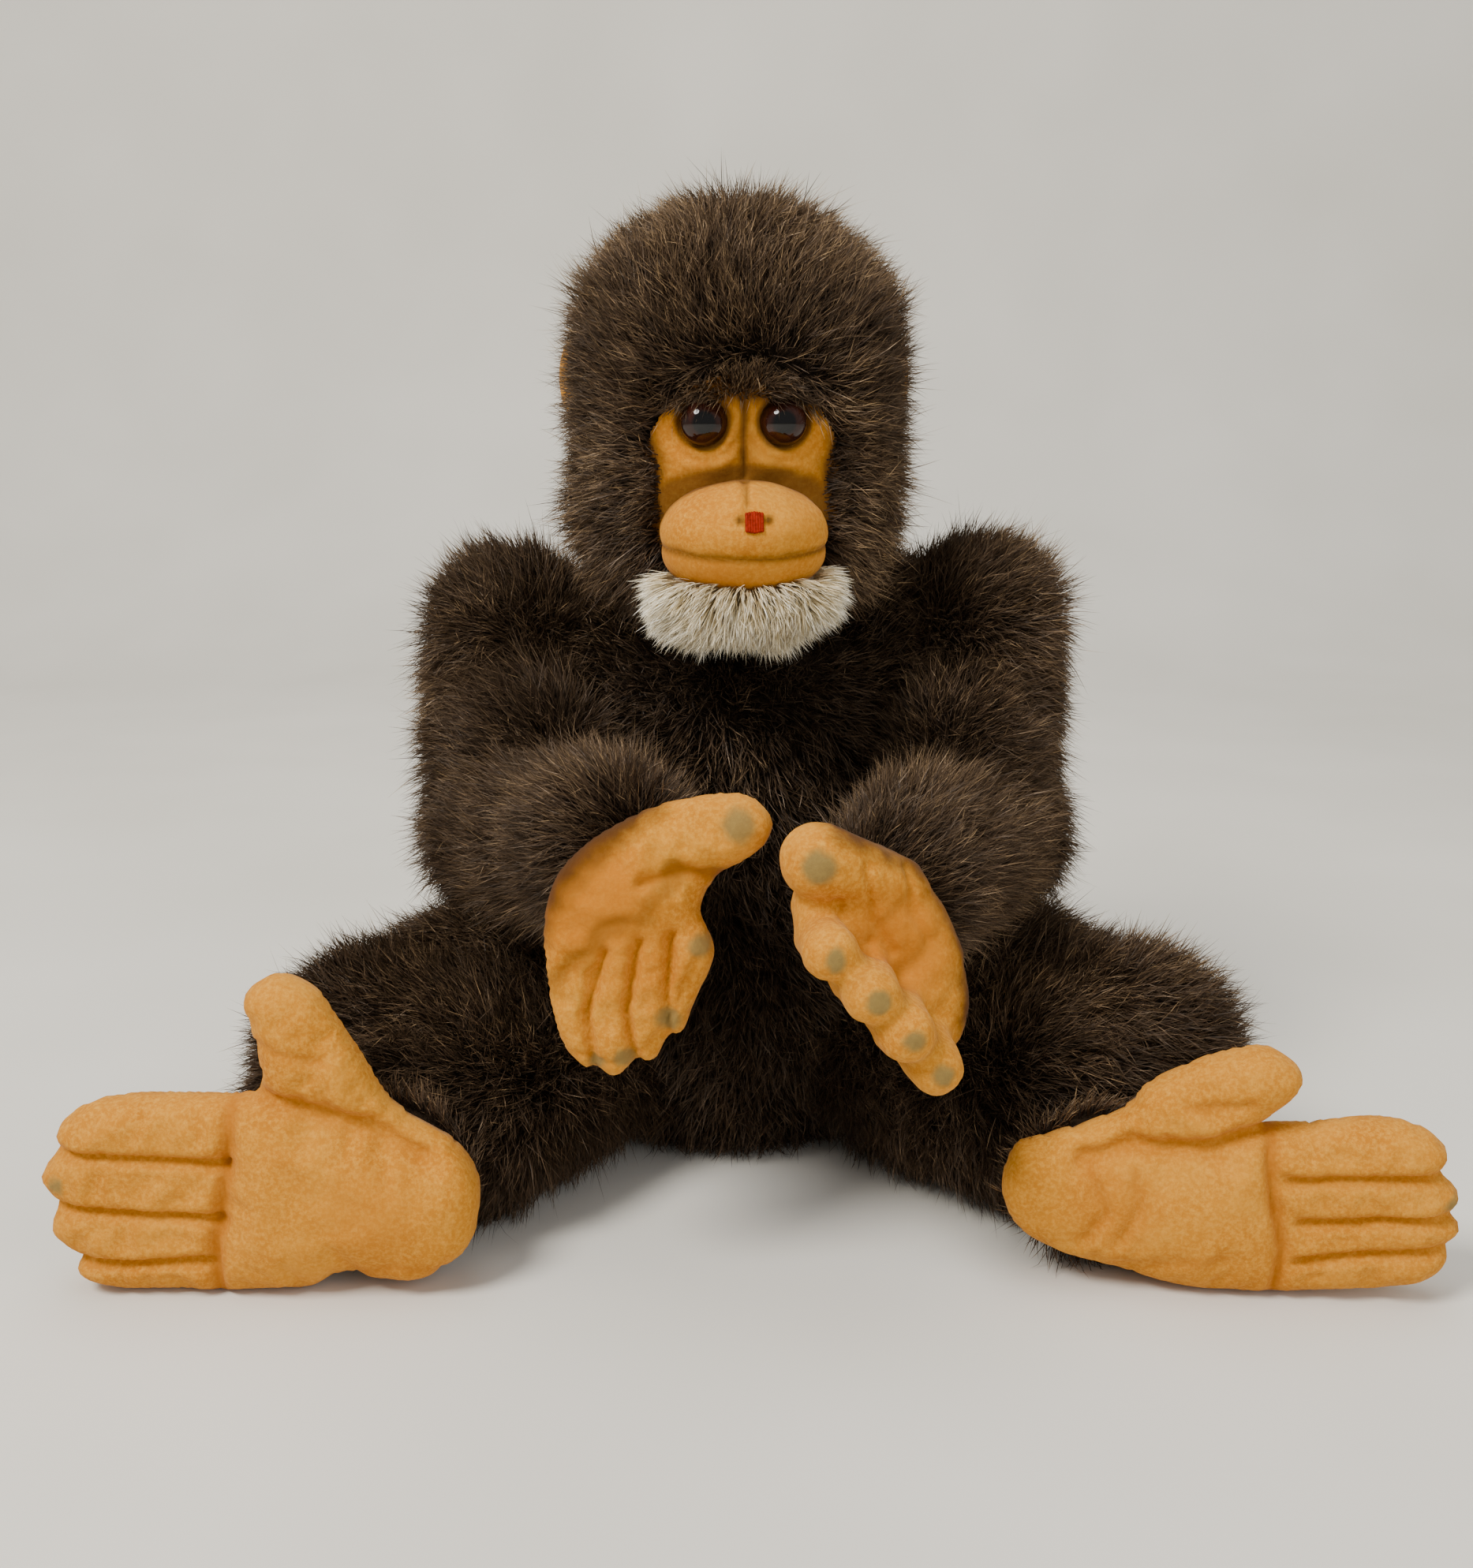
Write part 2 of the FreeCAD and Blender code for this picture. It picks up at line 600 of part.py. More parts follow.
def make_face(shank_holes):
    """Velour face panel, muzzle, lower lip, beard, nose and ears."""
    outer = primitive("Part::Cylinder", "panel_outer", Placement(), Height="Dims.head_top",
                      Radius="sqrt(pow(Dims.eye_depth; 2) + pow(Dims.eye_spread - Dims.eye_radius; 2))")
    inner = primitive("Part::Cylinder", "panel_inner", Placement(),
                      Radius="Dims.eye_depth - Dims.velour_wall", Height="Dims.head_top")
    wall = without("panel_wall", outer, inner)
    window_place = Placement(Vector(), Rotation(Vector(1, 0, 0), 90))
    edge = "Dims.face_radius - Dims.fit_gap"
    window = plate("face_window", window_place, edge, edge, "Dims.face_rise", "Dims.chin_round",
                   "Dims.head_radius", "Dims.face_lift")
    panel = doc.addObject("Part::Common", "panel")
    panel.Base = wall
    panel.Tool = window
    eye_flats = []
    for hand in (-1, 1):
        seat = eye_place(hand)
        eye_flats.append(primitive("Part::Cylinder", f"eye_seat{hand + 1}", seat,
                                   Radius=f"Dims.eye_radius + {PANEL_GAP}", Height="Dims.eye_dome"))
    head_piece(without("face_panel", panel, *shank_holes, *eye_flats), "face_panel")

    envelope = new_body("head_envelope")
    turned(envelope, barrel_outline, *head_barrel(f"-{ENVELOPE_GAP}"))
    muzzle_centre = forward("Dims.muzzle_forward", "Dims.muzzle_lift")
    muzzle_sizes = ("Dims.muzzle_half_width", "Dims.muzzle_half_depth", "Dims.muzzle_half_height")
    muzzle = ellipsoid("muzzle_outer", muzzle_centre, *muzzle_sizes)
    muzzle_core = ellipsoid("muzzle_inner", muzzle_centre, *muzzle_sizes, " - Dims.velour_wall")
    nose_centre = forward(f"Dims.muzzle_forward + Dims.muzzle_half_depth + {NOSE_PROUD}", "Dims.nose_lift")
    nose_corner = nose_centre - Vector(value("Dims.nose_width") / 2, 0, value("Dims.nose_height") / 2)
    nose = primitive("Part::Box", "nose_block", Placement(nose_corner, Rotation()),
                     Length="Dims.nose_width", Width="Dims.nose_depth", Height="Dims.nose_height")
    backing = primitive("Part::Cylinder", "panel_room", Placement(), Height="Dims.head_top",
                        Radius=f"Dims.eye_depth + {PANEL_CLEAR}")
    head_piece(without("muzzle_cover", muzzle, envelope, backing, muzzle_core, nose), "muzzle_cover")
    muzzle_filling = ellipsoid("muzzle_wad", muzzle_centre, *muzzle_sizes,
                               " - Dims.velour_wall - Dims.fit_gap")
    flat_corner = Vector(-value("Dims.head_radius"), -value("Dims.head_radius") - ENVELOPE_GAP, 0)
    flat_back = primitive("Part::Box", "muzzle_wad_back", Placement(flat_corner, Rotation()),
                          Length="Dims.head_radius * 2", Width="Dims.head_radius", Height="Dims.head_top")
    head_piece(without("muzzle_stuffing", muzzle_filling, flat_back, nose), "muzzle_stuffing")
    embroidered = primitive("Part::Box", "nose_patch", Placement(nose_corner, Rotation()),
                            Length="Dims.nose_width", Width="Dims.nose_depth", Height="Dims.nose_height")
    head_piece(without("nose", embroidered, muzzle_core), "nose")

    muzzle_room = ellipsoid("muzzle_room", muzzle_centre, *muzzle_sizes, f" + {ENVELOPE_GAP}")
    lip_centre = forward("Dims.lip_forward", "Dims.lip_lift")
    lip_sizes = ("Dims.lip_half_width", "Dims.lip_half_depth", "Dims.lip_half_height")
    lip = ellipsoid("lip_outer", lip_centre, *lip_sizes)
    head_piece(without("lower_lip", lip, envelope, backing, muzzle_room), "lower_lip")

    lip_room = ellipsoid("lip_room", lip_centre, *lip_sizes, f" + {ENVELOPE_GAP}")
    beard = ellipsoid("beard_outer", forward("Dims.beard_forward", "Dims.beard_lift"),
                      "Dims.beard_half_width", "Dims.beard_half_depth", "Dims.beard_half_height")
    head_piece(without("beard", beard, envelope, backing, muzzle_room, lip_room), "beard")

    for side, hand in (("right", -1), ("left", 1)):
        centre = Vector(hand * value("Dims.ear_out"), value("Dims.ear_back"), value("Dims.ear_lift"))
        ear = ellipsoid(side + "_ear_outer", centre, "Dims.ear_half_thickness", "Dims.ear_half_depth",
                        "Dims.ear_half_height", turn=0 if hand > 0 else 180)
        head_piece(without(side + "_ear", ear, envelope), side + "_ear")


# ---------------------------------------------------------------- arms and hands

def make_arm(side):
    """Upper arm and forearm, each a cover and a filling, with a wad at the shoulder."""
    at = JOINTS[side]
    upper = at["elbow"] - at["shoulder"]
    ball(side + "_shoulder_stuffing", at["shoulder"], "Dims.shoulder_filling_radius")
    upper_run = f"{upper.Length} - Dims.elbow_end_radius - Dims.elbow_root_radius - Dims.joint_gap"
    limb(side + "_upper_arm", aimed(at["shoulder"], at["elbow"]), "Dims.shoulder_radius",
         "Dims.elbow_end_radius", upper_run, "Dims.shoulder_filling_radius + Dims.fit_gap")
    fore = at["wrist"] - at["elbow"]
    limb(side + "_forearm", aimed(at["elbow"], at["wrist"]), "Dims.elbow_root_radius",
         "Dims.wrist_radius", f"{fore.Length}", None)


def make_hand(side):
    """Velour palm, wadding and back, a row of four stitched fingers, and a thumb."""
    hand = HANDS[side]
    place = framed(JOINTS[side]["wrist"], hand["fingers"], hand["palm"])
    corner = Vector(value("Dims.palm_run") / 2, value("Dims.palm_offset"), 0)
    across = place * Placement(corner, Rotation(UP, 90))
    outline = ("Dims.palm_radius", "Dims.palm_radius", "Dims.palm_run")
    back_lift = "Dims.wrist_radius + Dims.joint_gap"
    wad_lift = f"{back_lift} + Dims.velour_wall + {PANEL_GAP}"
    panel_lift = f"{wad_lift} + Dims.palm_filling + {PANEL_GAP}"
    layers = (("_hand_back", back_lift, "Dims.velour_wall"),
              ("_palm_stuffing", wad_lift, "Dims.palm_filling"),
              ("_palm_panel", panel_lift, "Dims.velour_wall"))
    for layer, lift, thickness in layers:
        node(plate(side + layer, across, *outline, lift, thickness), side + layer)

    # The fingers start at the palm's edge, at the middle of its thickness, and are trimmed to fit it.
    middle = value(f"{back_lift} + Dims.velour_wall + Dims.palm_filling / 2")
    reach = value("Dims.palm_offset + Dims.palm_radius")
    first = -1.5 * value("Dims.finger_pitch")
    bend = math.radians(hand["bend"])
    local = Placement(
        Vector(first, reach, middle),
        Rotation(Vector(1, 0, 0), Vector(0, math.sin(bend), -math.cos(bend)).negative(),
                 Vector(0, math.cos(bend), math.sin(bend)), "ZXY"),
    )
    fingers = digits(side + "_finger_row", place * local, "Dims.finger_radius", "Dims.finger_run",
                     "Dims.finger_pitch", 4)

    edge = f"Dims.palm_radius + {ENVELOPE_GAP}"
    palm_room = plate(side + "_palm_room", across, edge, edge, "Dims.palm_run",
                      f"{back_lift} - {ENVELOPE_GAP}",
                      f"Dims.velour_wall * 2 + Dims.palm_filling + {LAYER_ROOM}")
    node(without(side + "_fingers", fingers, palm_room), side + "_fingers")
    thumb = new_body(side + "_thumb_rod")
    root, tip = (Vector(across_hand, along, middle + ahead) for across_hand, along, ahead in hand["thumb"])
    turned(thumb, limb_outline, "Dims.thumb_radius", "Dims.thumb_radius", f"{(tip - root).Length}")
    thumb.Placement = place * aimed(root, tip)
    node(without(side + "_thumb", thumb, palm_room), side + "_thumb")


# ---------------------------------------------------------------- legs and feet

def make_leg(side):
    """Leg cover and filling, with a wad at the hip."""
    at = JOINTS[side]
    ball(side + "_hip_stuffing", at["hip"], "Dims.hip_filling_radius")
    run = at["ankle"] - at["hip"]
    limb(side + "_leg", aimed(at["hip"], at["ankle"]), "Dims.hip_radius", "Dims.ankle_radius",
         f"{run.Length}", "Dims.hip_filling_radius + Dims.fit_gap")


def make_foot(side):
    """Velour sole, wadding and fur top, a row of four stitched toes, and a big toe."""
    foot = FEET[side]
    facing = foot["toes"].cross(UP)
    facing = facing if facing.y < 0 else facing.negative()
    ankle = JOINTS[side]["ankle"]
    # The sole's middle line is level with the centre of its widest circle, so that it rests on the ground.
    level = Vector(ankle.x, ankle.y, value("Dims.ball_radius"))
    place = framed(level, foot["toes"], facing)
    outline = ("Dims.heel_radius", "Dims.ball_radius", "Dims.sole_length")
    start = "Dims.sole_start"
    top_lift = "Dims.ankle_radius + Dims.joint_gap"
    wad_lift = f"{top_lift} + Dims.cover_wall + {PANEL_GAP}"
    sole_lift = f"{wad_lift} + Dims.foot_filling + {PANEL_GAP}"
    layers = (("_foot_top", top_lift, "Dims.cover_wall"), ("_foot_stuffing", wad_lift, "Dims.foot_filling"),
              ("_sole_panel", sole_lift, "Dims.velour_wall"))
    for layer, lift, thickness in layers:
        node(plate(side + layer, place, *outline, lift, thickness, start), side + layer)

    middle = value(f"{top_lift} + Dims.cover_wall + Dims.foot_filling / 2") + TOE_RISE
    reach = value("Dims.sole_start + Dims.sole_length + Dims.ball_radius")
    first = -1.5 * value("Dims.toe_pitch")
    local = Placement(Vector(first, reach, middle), Rotation(UP, Vector(0, 1, 0)))
    toes = digits(side + "_toe_row", place * local, "Dims.toe_radius", "Dims.toe_run", "Dims.toe_pitch", 4)

    foot_room = plate(side + "_foot_room", place, f"Dims.heel_radius + {ENVELOPE_GAP}",
                      f"Dims.ball_radius + {ENVELOPE_GAP}", "Dims.sole_length",
                      f"{top_lift} - {ENVELOPE_GAP}",
                      f"Dims.cover_wall + Dims.foot_filling + Dims.velour_wall + {LAYER_ROOM}", start)
    node(without(side + "_toes", toes, foot_room), side + "_toes")
    root, tip = (level + foot["toes"] * along + UP * high + facing * out
                 for along, high, out in foot["big_toe"])
    toe = new_body(side + "_big_toe_rod")
    turned(toe, limb_outline, "Dims.big_toe_radius", "Dims.big_toe_radius", f"{(tip - root).Length}")
    toe.Placement = aimed(root, tip)
    node(without(side + "_big_toe", toe, foot_room), side + "_big_toe")


# ---------------------------------------------------------------- checks and writing

def check():
    """Stop on any failed object or on a piece that isn't a valid solid."""
    doc.recompute()
    for item in doc.Objects:
        if "Invalid" in item.State or "Error" in item.State:
            raise RuntimeError(f"{item.Label} failed: {item.State}")
    for piece in nodes:
        shape = piece.Shape
        if shape.isNull() or not shape.isValid() or not shape.Solids:
            raise RuntimeError(f"{piece.Label} is not a valid solid")
        print(f"{piece.Label}: {len(shape.Solids)} solid, {shape.Volume / 1000:.1f} cm3")


def write():
    os.makedirs("parts", exist_ok=True)
    for piece in nodes:
        piece.Shape.exportStep(f"parts/{piece.Label}.step")


make_body()
make_head()
make_face(make_eyes())
for side in SIDES:
    make_arm(side)
    make_hand(side)
    make_leg(side)
    make_foot(side)
check()
write()
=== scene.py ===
import json
import math
import bpy
import numpy as np
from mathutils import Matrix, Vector
from mathutils.geometry import delaunay_2d_cdt


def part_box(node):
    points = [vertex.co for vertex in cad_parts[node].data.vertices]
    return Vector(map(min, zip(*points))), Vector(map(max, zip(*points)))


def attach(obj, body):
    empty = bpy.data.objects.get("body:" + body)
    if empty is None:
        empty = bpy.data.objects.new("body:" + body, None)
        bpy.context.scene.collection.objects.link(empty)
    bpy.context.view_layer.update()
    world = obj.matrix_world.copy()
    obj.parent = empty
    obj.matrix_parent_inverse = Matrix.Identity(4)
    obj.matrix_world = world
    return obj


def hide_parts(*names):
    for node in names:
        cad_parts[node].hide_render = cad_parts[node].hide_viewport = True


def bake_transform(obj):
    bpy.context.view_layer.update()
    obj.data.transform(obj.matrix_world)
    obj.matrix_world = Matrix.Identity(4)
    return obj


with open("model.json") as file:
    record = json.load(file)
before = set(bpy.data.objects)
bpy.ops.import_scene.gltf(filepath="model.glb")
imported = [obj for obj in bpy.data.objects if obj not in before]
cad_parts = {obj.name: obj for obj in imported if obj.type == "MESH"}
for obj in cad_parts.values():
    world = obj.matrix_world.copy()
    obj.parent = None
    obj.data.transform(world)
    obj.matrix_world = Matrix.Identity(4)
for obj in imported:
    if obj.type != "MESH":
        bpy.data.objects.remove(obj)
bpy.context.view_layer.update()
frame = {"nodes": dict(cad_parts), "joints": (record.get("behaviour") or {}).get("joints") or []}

# The plush monkey's looks. Shapes are worked out in millimetres in the shared frame and scaled on the
# way into Blender. Every joint centre comes from the model's own joints, so the looks follow the model.
MM = 0.001
UP = np.array([0.0, 0.0, 1.0])
SIDES = ("right", "left")
JOINT = {j["name"]: np.array(j["pos_m"]) / MM for j in frame["joints"]}
NECK = JOINT["head_turn"]
HEAD_TURN = math.radians(2.5)


# ---------------------------------------------------------------- numbers and noise

def unit(v):
    v = np.asarray(v, float)
    return v / np.maximum(np.linalg.norm(v, axis=-1, keepdims=True), 1e-9)


def ease(low, high, x):
    t = np.clip((np.asarray(x, float) - low) / (high - low), 0, 1)
    return t * t * (3 - 2 * t)


def hashed(cells, seed):
    """A repeatable number from 0 to 1 for each row of whole numbers."""
    c = cells.astype(np.int64)
    h = c[..., 0] * 73856093 ^ c[..., 1] * 19349663 ^ c[..., 2] * 83492791 ^ (seed * 2654435761)
    h = (h ^ (h >> 13)) * 1274126177 & 0xFFFFFFFF
    h = (h ^ (h >> 15)) * 2246822519 & 0xFFFFFFFF
    return ((h ^ (h >> 14)) & 0xFFFFFF) / float(0xFFFFFF)


def noise(p, scale, seed):
    """Smooth noise from -1 to 1."""
    q = np.asarray(p, float) / scale
    cell = np.floor(q)
    f = q - cell
    f = f * f * (3 - 2 * f)
    total = 0
    for corner in np.ndindex(2, 2, 2):
        weight = np.prod(np.where(np.array(corner) == 1, f, 1 - f), axis=-1)
        total = total + weight * hashed(cell + np.array(corner), seed)
    return total * 2 - 1


def noise3(p, scale, seed):
    return np.stack([noise(p, scale, seed + k) for k in range(3)], axis=-1)


def clump_centres(p, size, seed):
    """The nearest point of a jittered lattice to each point."""
    base = np.floor(p / size)
    best = np.full(len(p), 1e9)
    out = np.zeros_like(p)
    for step in np.ndindex(3, 3, 3):
        cell = base + np.array(step) - 1
        jitter = np.stack([hashed(cell, seed + k) for k in range(3)], axis=-1)
        spot = (cell + jitter) * size
        gap = np.sum((spot - p) ** 2, axis=1)
        near = gap < best
        best = np.where(near, gap, best)
        out[near] = spot[near]
    return out


class Place:
    """A local frame: origin, and axes with Y along and Z as near to facing as it can be."""

    def __init__(self, origin, along, facing):
        self.origin = np.asarray(origin, float)
        self.y = unit(along)
        facing = np.asarray(facing, float)
        self.z = unit(facing - self.y * np.dot(facing, self.y))
        self.x = np.cross(self.y, self.z)
        self.axes = np.array([self.x, self.y, self.z])

    def out(self, local):
        return np.asarray(local, float) @ self.axes + self.origin


# ---------------------------------------------------------------- materials

def srgb(r, g, b):
    """Linear colour from the usual 0 to 255 values."""
    return tuple(((c / 255 + 0.055) / 1.055) ** 2.4 if c > 10 else c / 3294 for c in (r, g, b)) + (1,)


class Shader:
    """A small helper that builds one node material."""

    def __init__(self, name, rough=0.8, sheen=0.0, coat=0.0, specular=0.3):
        self.material = bpy.data.materials.new(name)
        self.material.use_nodes = True
        self.tree = self.material.node_tree
        self.bsdf = self.tree.nodes["Principled BSDF"]
        self.bsdf.inputs["Roughness"].default_value = rough
        self.bsdf.inputs["Sheen Weight"].default_value = sheen
        self.bsdf.inputs["Sheen Roughness"].default_value = 0.45
        self.bsdf.inputs["Coat Weight"].default_value = coat
        self.bsdf.inputs["Specular IOR Level"].default_value = specular

    def node(self, kind, **settings):
        made = self.tree.nodes.new(kind)
        for key, setting in settings.items():
            setattr(made, key, setting)
        return made

    def link(self, a, b):
        self.tree.links.new(a, b)

    def place(self):
        return self.node("ShaderNodeTexCoord").outputs["Object"]

    def noise(self, scale, detail=3.0, rough=0.6):
        made = self.node("ShaderNodeTexNoise")
        made.inputs["Scale"].default_value = scale
        made.inputs["Detail"].default_value = detail
        made.inputs["Roughness"].default_value = rough
        self.link(self.place(), made.inputs["Vector"])
        return made.outputs["Fac"]

    def ramp(self, fac, *stops):
        made = self.node("ShaderNodeValToRGB")
        elements = made.color_ramp.elements
        while len(elements) < len(stops):
            elements.new(0.5)
        for element, (at, colour) in zip(elements, stops):
            element.position = at
            element.color = colour
        self.link(fac, made.inputs["Fac"])
        return made.outputs["Color"]

    def mix(self, fac, a, b):
        made = self.node("ShaderNodeMix", data_type="RGBA")
        self.link(fac, made.inputs["Factor"])
        for value, socket in ((a, made.inputs[6]), (b, made.inputs[7])):
            if isinstance(value, tuple):
                socket.default_value = value
            else:
                self.link(value, socket)
        return made.outputs[2]

    def attribute(self, name):
        made = self.node("ShaderNodeAttribute", attribute_name=name)
        return made.outputs["Fac"]

    def colour(self, value):
        self.link(value, self.bsdf.inputs["Base Color"])

    def bump(self, fac, distance, strength=1.0):
        made = self.node("ShaderNodeBump")
        made.inputs["Strength"].default_value = strength
        made.inputs["Distance"].default_value = distance
        self.link(fac, made.inputs["Height"])
        last = self.bsdf.inputs["Normal"]
        if last.is_linked:
            self.link(last.links[0].from_socket, made.inputs["Normal"])
        self.link(made.outputs["Normal"], last)


def velour(name="velour"):
    """Short orange pile: speckled nap, grey rubbed pads, and brown where the shade mark says: the toy's own
    airbrush, and painted shade in creases, between digits and along the mouth line.
    """
    s = Shader(name, rough=0.95, sheen=0.05, specular=0.05)
    fine = s.noise(900, 4, 0.7)
    broad = s.noise(70, 4, 0.6)
    orange = s.ramp(broad, (0.3, srgb(178, 110, 24)), (0.52, srgb(187, 121, 31)),
                    (0.72, srgb(196, 132, 39)))
    speckled = s.mix(s.ramp(fine, (0.42, (0, 0, 0, 1)), (0.72, (1, 1, 1, 1))), orange, srgb(210, 150, 56))
    # deep gives a deeper orange; along creases and stitch lines it is painted shade.
    deep = s.mix(s.attribute("deep"), speckled, srgb(180, 106, 26))
    # shade mixes in brown: partly the toy's own airbrush, partly painted shade in creases and hollows.
    shaded = s.mix(s.attribute("shade"), deep, srgb(70, 42, 20))
    s.colour(s.mix(s.attribute("pad"), shaded, srgb(112, 104, 66)))
    s.bump(fine, 0.0003, 0.55)
    s.bump(broad, 0.0009, 0.35)
    return s.material


def undercoat(name, dark, light):
    """Dense matted pile seen between the strands."""
    s = Shader(name, rough=1.0, specular=0.05)
    fine = s.noise(500, 5, 0.7)
    s.colour(s.ramp(fine, (0.35, dark), (0.7, light)))
    s.bump(fine, 0.002, 1.0)
    return s.material


def strand(name, colour, rough, specular=0.25):
    """One tone of pile; its roughness varies along and across the coat."""
    s = Shader(name, rough=rough, specular=specular)
    s.bsdf.inputs["Base Color"].default_value = colour
    varied = s.node("ShaderNodeMapRange")
    varied.inputs["To Min"].default_value = rough - 0.15
    varied.inputs["To Max"].default_value = min(rough + 0.15, 1)
    s.link(s.noise(160), varied.inputs["Value"])
    s.link(varied.outputs["Result"], s.bsdf.inputs["Roughness"])
    return s.material


VELOUR = velour()
UNDERCOAT = undercoat("brown_undercoat", srgb(26, 20, 15), srgb(52, 40, 29))
BEARD_BASE = undercoat("cream_undercoat", srgb(120, 100, 76), srgb(176, 156, 128))
# Each coat: one root tone, then pairs of middle and tip tones from darkest to lightest.
BROWN_COAT = [
    strand("pile_root", srgb(40, 30, 22), 0.7),
    strand("pile_mid_0", srgb(54, 41, 29), 0.6), strand("pile_tip_0", srgb(70, 54, 38), 0.55),
    strand("pile_mid_1", srgb(66, 50, 36), 0.6), strand("pile_tip_1", srgb(90, 71, 51), 0.55),
    strand("pile_mid_2", srgb(80, 62, 45), 0.55), strand("pile_tip_2", srgb(118, 95, 69), 0.5),
    strand("pile_mid_3", srgb(100, 80, 58), 0.5), strand("pile_tip_3", srgb(156, 128, 92), 0.45),
]
CREAM_COAT = [
    strand("beard_root", srgb(160, 138, 100), 0.6),
    strand("beard_mid_0", srgb(196, 176, 134), 0.5), strand("beard_tip_0", srgb(212, 194, 154), 0.45),
    strand("beard_mid_1", srgb(216, 200, 162), 0.45), strand("beard_tip_1", srgb(230, 217, 186), 0.4),
    strand("beard_mid_2", srgb(228, 216, 184), 0.4), strand("beard_tip_2", srgb(240, 231, 208), 0.35),
    strand("beard_mid_3", srgb(236, 226, 200), 0.35), strand("beard_tip_3", srgb(248, 243, 228), 0.3),
]


# ---------------------------------------------------------------- meshes

def build(name, verts, tris, materials, slots=None, smooth=True):
    """A mesh object from arrays in millimetres; faces are triangles."""
    tris = np.asarray(tris, np.int32)
    mesh = bpy.data.meshes.new(name)
    mesh.vertices.add(len(verts))
    mesh.vertices.foreach_set("co", (np.asarray(verts, float) * MM).astype(np.float32).ravel())
    mesh.loops.add(tris.size)
    mesh.loops.foreach_set("vertex_index", tris.ravel())
    mesh.polygons.add(len(tris))
    mesh.polygons.foreach_set("loop_start", np.arange(0, tris.size, 3, dtype=np.int32))
    if slots is not None:
        mesh.polygons.foreach_set("material_index", np.asarray(slots, np.int32))
    mesh.polygons.foreach_set("use_smooth", np.full(len(tris), smooth))
    mesh.update(calc_edges=True)
    mesh.validate()
    for material in materials:
        mesh.materials.append(material)
    made = bpy.data.objects.new(name, mesh)
    bpy.context.scene.collection.objects.link(made)
    return made


def points(mesh):
    out = np.empty(len(mesh.vertices) * 3, np.float32)
    mesh.vertices.foreach_get("co", out)
    return out.reshape(-1, 3).astype(float) / MM


def set_points(mesh, verts):
    mesh.vertices.foreach_set("co", (verts * MM).astype(np.float32).ravel())
    mesh.update()


def triangles(mesh):
    mesh.calc_loop_triangles()
    out = np.empty(len(mesh.loop_triangles) * 3, np.int32)
    mesh.loop_triangles.foreach_get("vertices", out)
    return out.reshape(-1, 3)


def normals(verts, tris):
    face = np.cross(verts[tris[:, 1]] - verts[tris[:, 0]], verts[tris[:, 2]] - verts[tris[:, 0]])
    out = np.zeros_like(verts)
    for corner in range(3):
        np.add.at(out, tris[:, corner], face)
    return unit(out)


def relaxed(verts, tris, rounds, amount=0.5):
    """Even out a mesh by moving each point towards its neighbours."""
    edges = np.vstack([tris[:, [0, 1]], tris[:, [1, 2]], tris[:, [2, 0]]])
    count = np.bincount(edges.ravel(), minlength=len(verts))[:, None]
    for _ in range(rounds):
        total = np.zeros_like(verts)
        np.add.at(total, edges[:, 0], verts[edges[:, 1]])
        np.add.at(total, edges[:, 1], verts[edges[:, 0]])
        verts = verts + amount * (total / np.maximum(count, 1) - verts)
    return verts


def mark(obj, **fields):
    """Keep a number per point for the materials."""
    for name, values in fields.items():
        layer = obj.data.attributes.new(name, "FLOAT", "POINT")
        layer.data.foreach_set("value", np.clip(values, 0, 1).astype(np.float32))
    return obj


def turned(profile, origin, axis, steps=32):
    """A closed shape turned from (along, radius) points that start and end on the axis."""
    place = Place(origin, axis, (1, 0.2, 0) if abs(unit(axis)[2]) > 0.7 else UP)
    angles = np.linspace(0, 2 * math.pi, steps, endpoint=False)
    verts = [place.out((0, profile[0][0], 0))]
    for along, radius in profile[1:-1]:
        ring = np.stack([radius * np.cos(angles), np.full(steps, along), radius * np.sin(angles)], axis=1)
        verts.extend(place.out(ring))
    verts.append(place.out((0, profile[-1][0], 0)))
    last = len(verts) - 1
    tris = []
    for k in range(steps):
        following = (k + 1) % steps
        tris.append((0, 1 + k, 1 + following))
        for row in range(len(profile) - 3):
            a, b = 1 + row * steps, 1 + (row + 1) * steps
            tris.append((a + k, b + k, b + following))
            tris.append((a + k, b + following, a + following))
        tris.append((last, last - steps + following, last - steps + k))
    return np.array(verts), np.array(tris)


def capsule(a, b, root, tip):
    """A round-ended taper between two centres."""
    a, b = np.asarray(a, float), np.asarray(b, float)
    run = float(np.linalg.norm(b - a))
    slant = math.asin(max(-0.95, min(0.95, (root - tip) / run)))
    profile = [(-root, 0)]
    profile += [(root * math.sin(t), root * math.cos(t)) for t in np.linspace(-1.4, slant, 9)]
    profile += [(run + tip * math.sin(t), tip * math.cos(t)) for t in np.linspace(slant, 1.4, 9)]
    profile += [(run + tip, 0)]
    return turned(profile, a, b - a)


def egg(centre, across, deep, high):
    """An egg with half sizes along X, Y and Z."""
    profile = [(math.sin(t), math.cos(t)) for t in np.linspace(-math.pi / 2, math.pi / 2, 25)]
    verts, tris = turned(profile, (0, 0, 0), UP, 40)
    return verts * np.array([across, deep, high]) + np.asarray(centre, float), tris


def barrel(origin, low, high, wide, narrow, under, over):
    """An upright barrel with rounded edges, like the model's own outline."""
    profile = [(low, 0)]
    profile += [(low + under - under * math.cos(t), wide - under + under * math.sin(t))
                for t in np.linspace(0.05, math.pi / 2, 9)]
    profile += [(high - over + over * math.sin(t), narrow - over + over * math.cos(t))
                for t in np.linspace(0, math.pi / 2 - 0.05, 9)]
    profile += [(high, 0)]
    return turned(profile, origin, UP, 48)


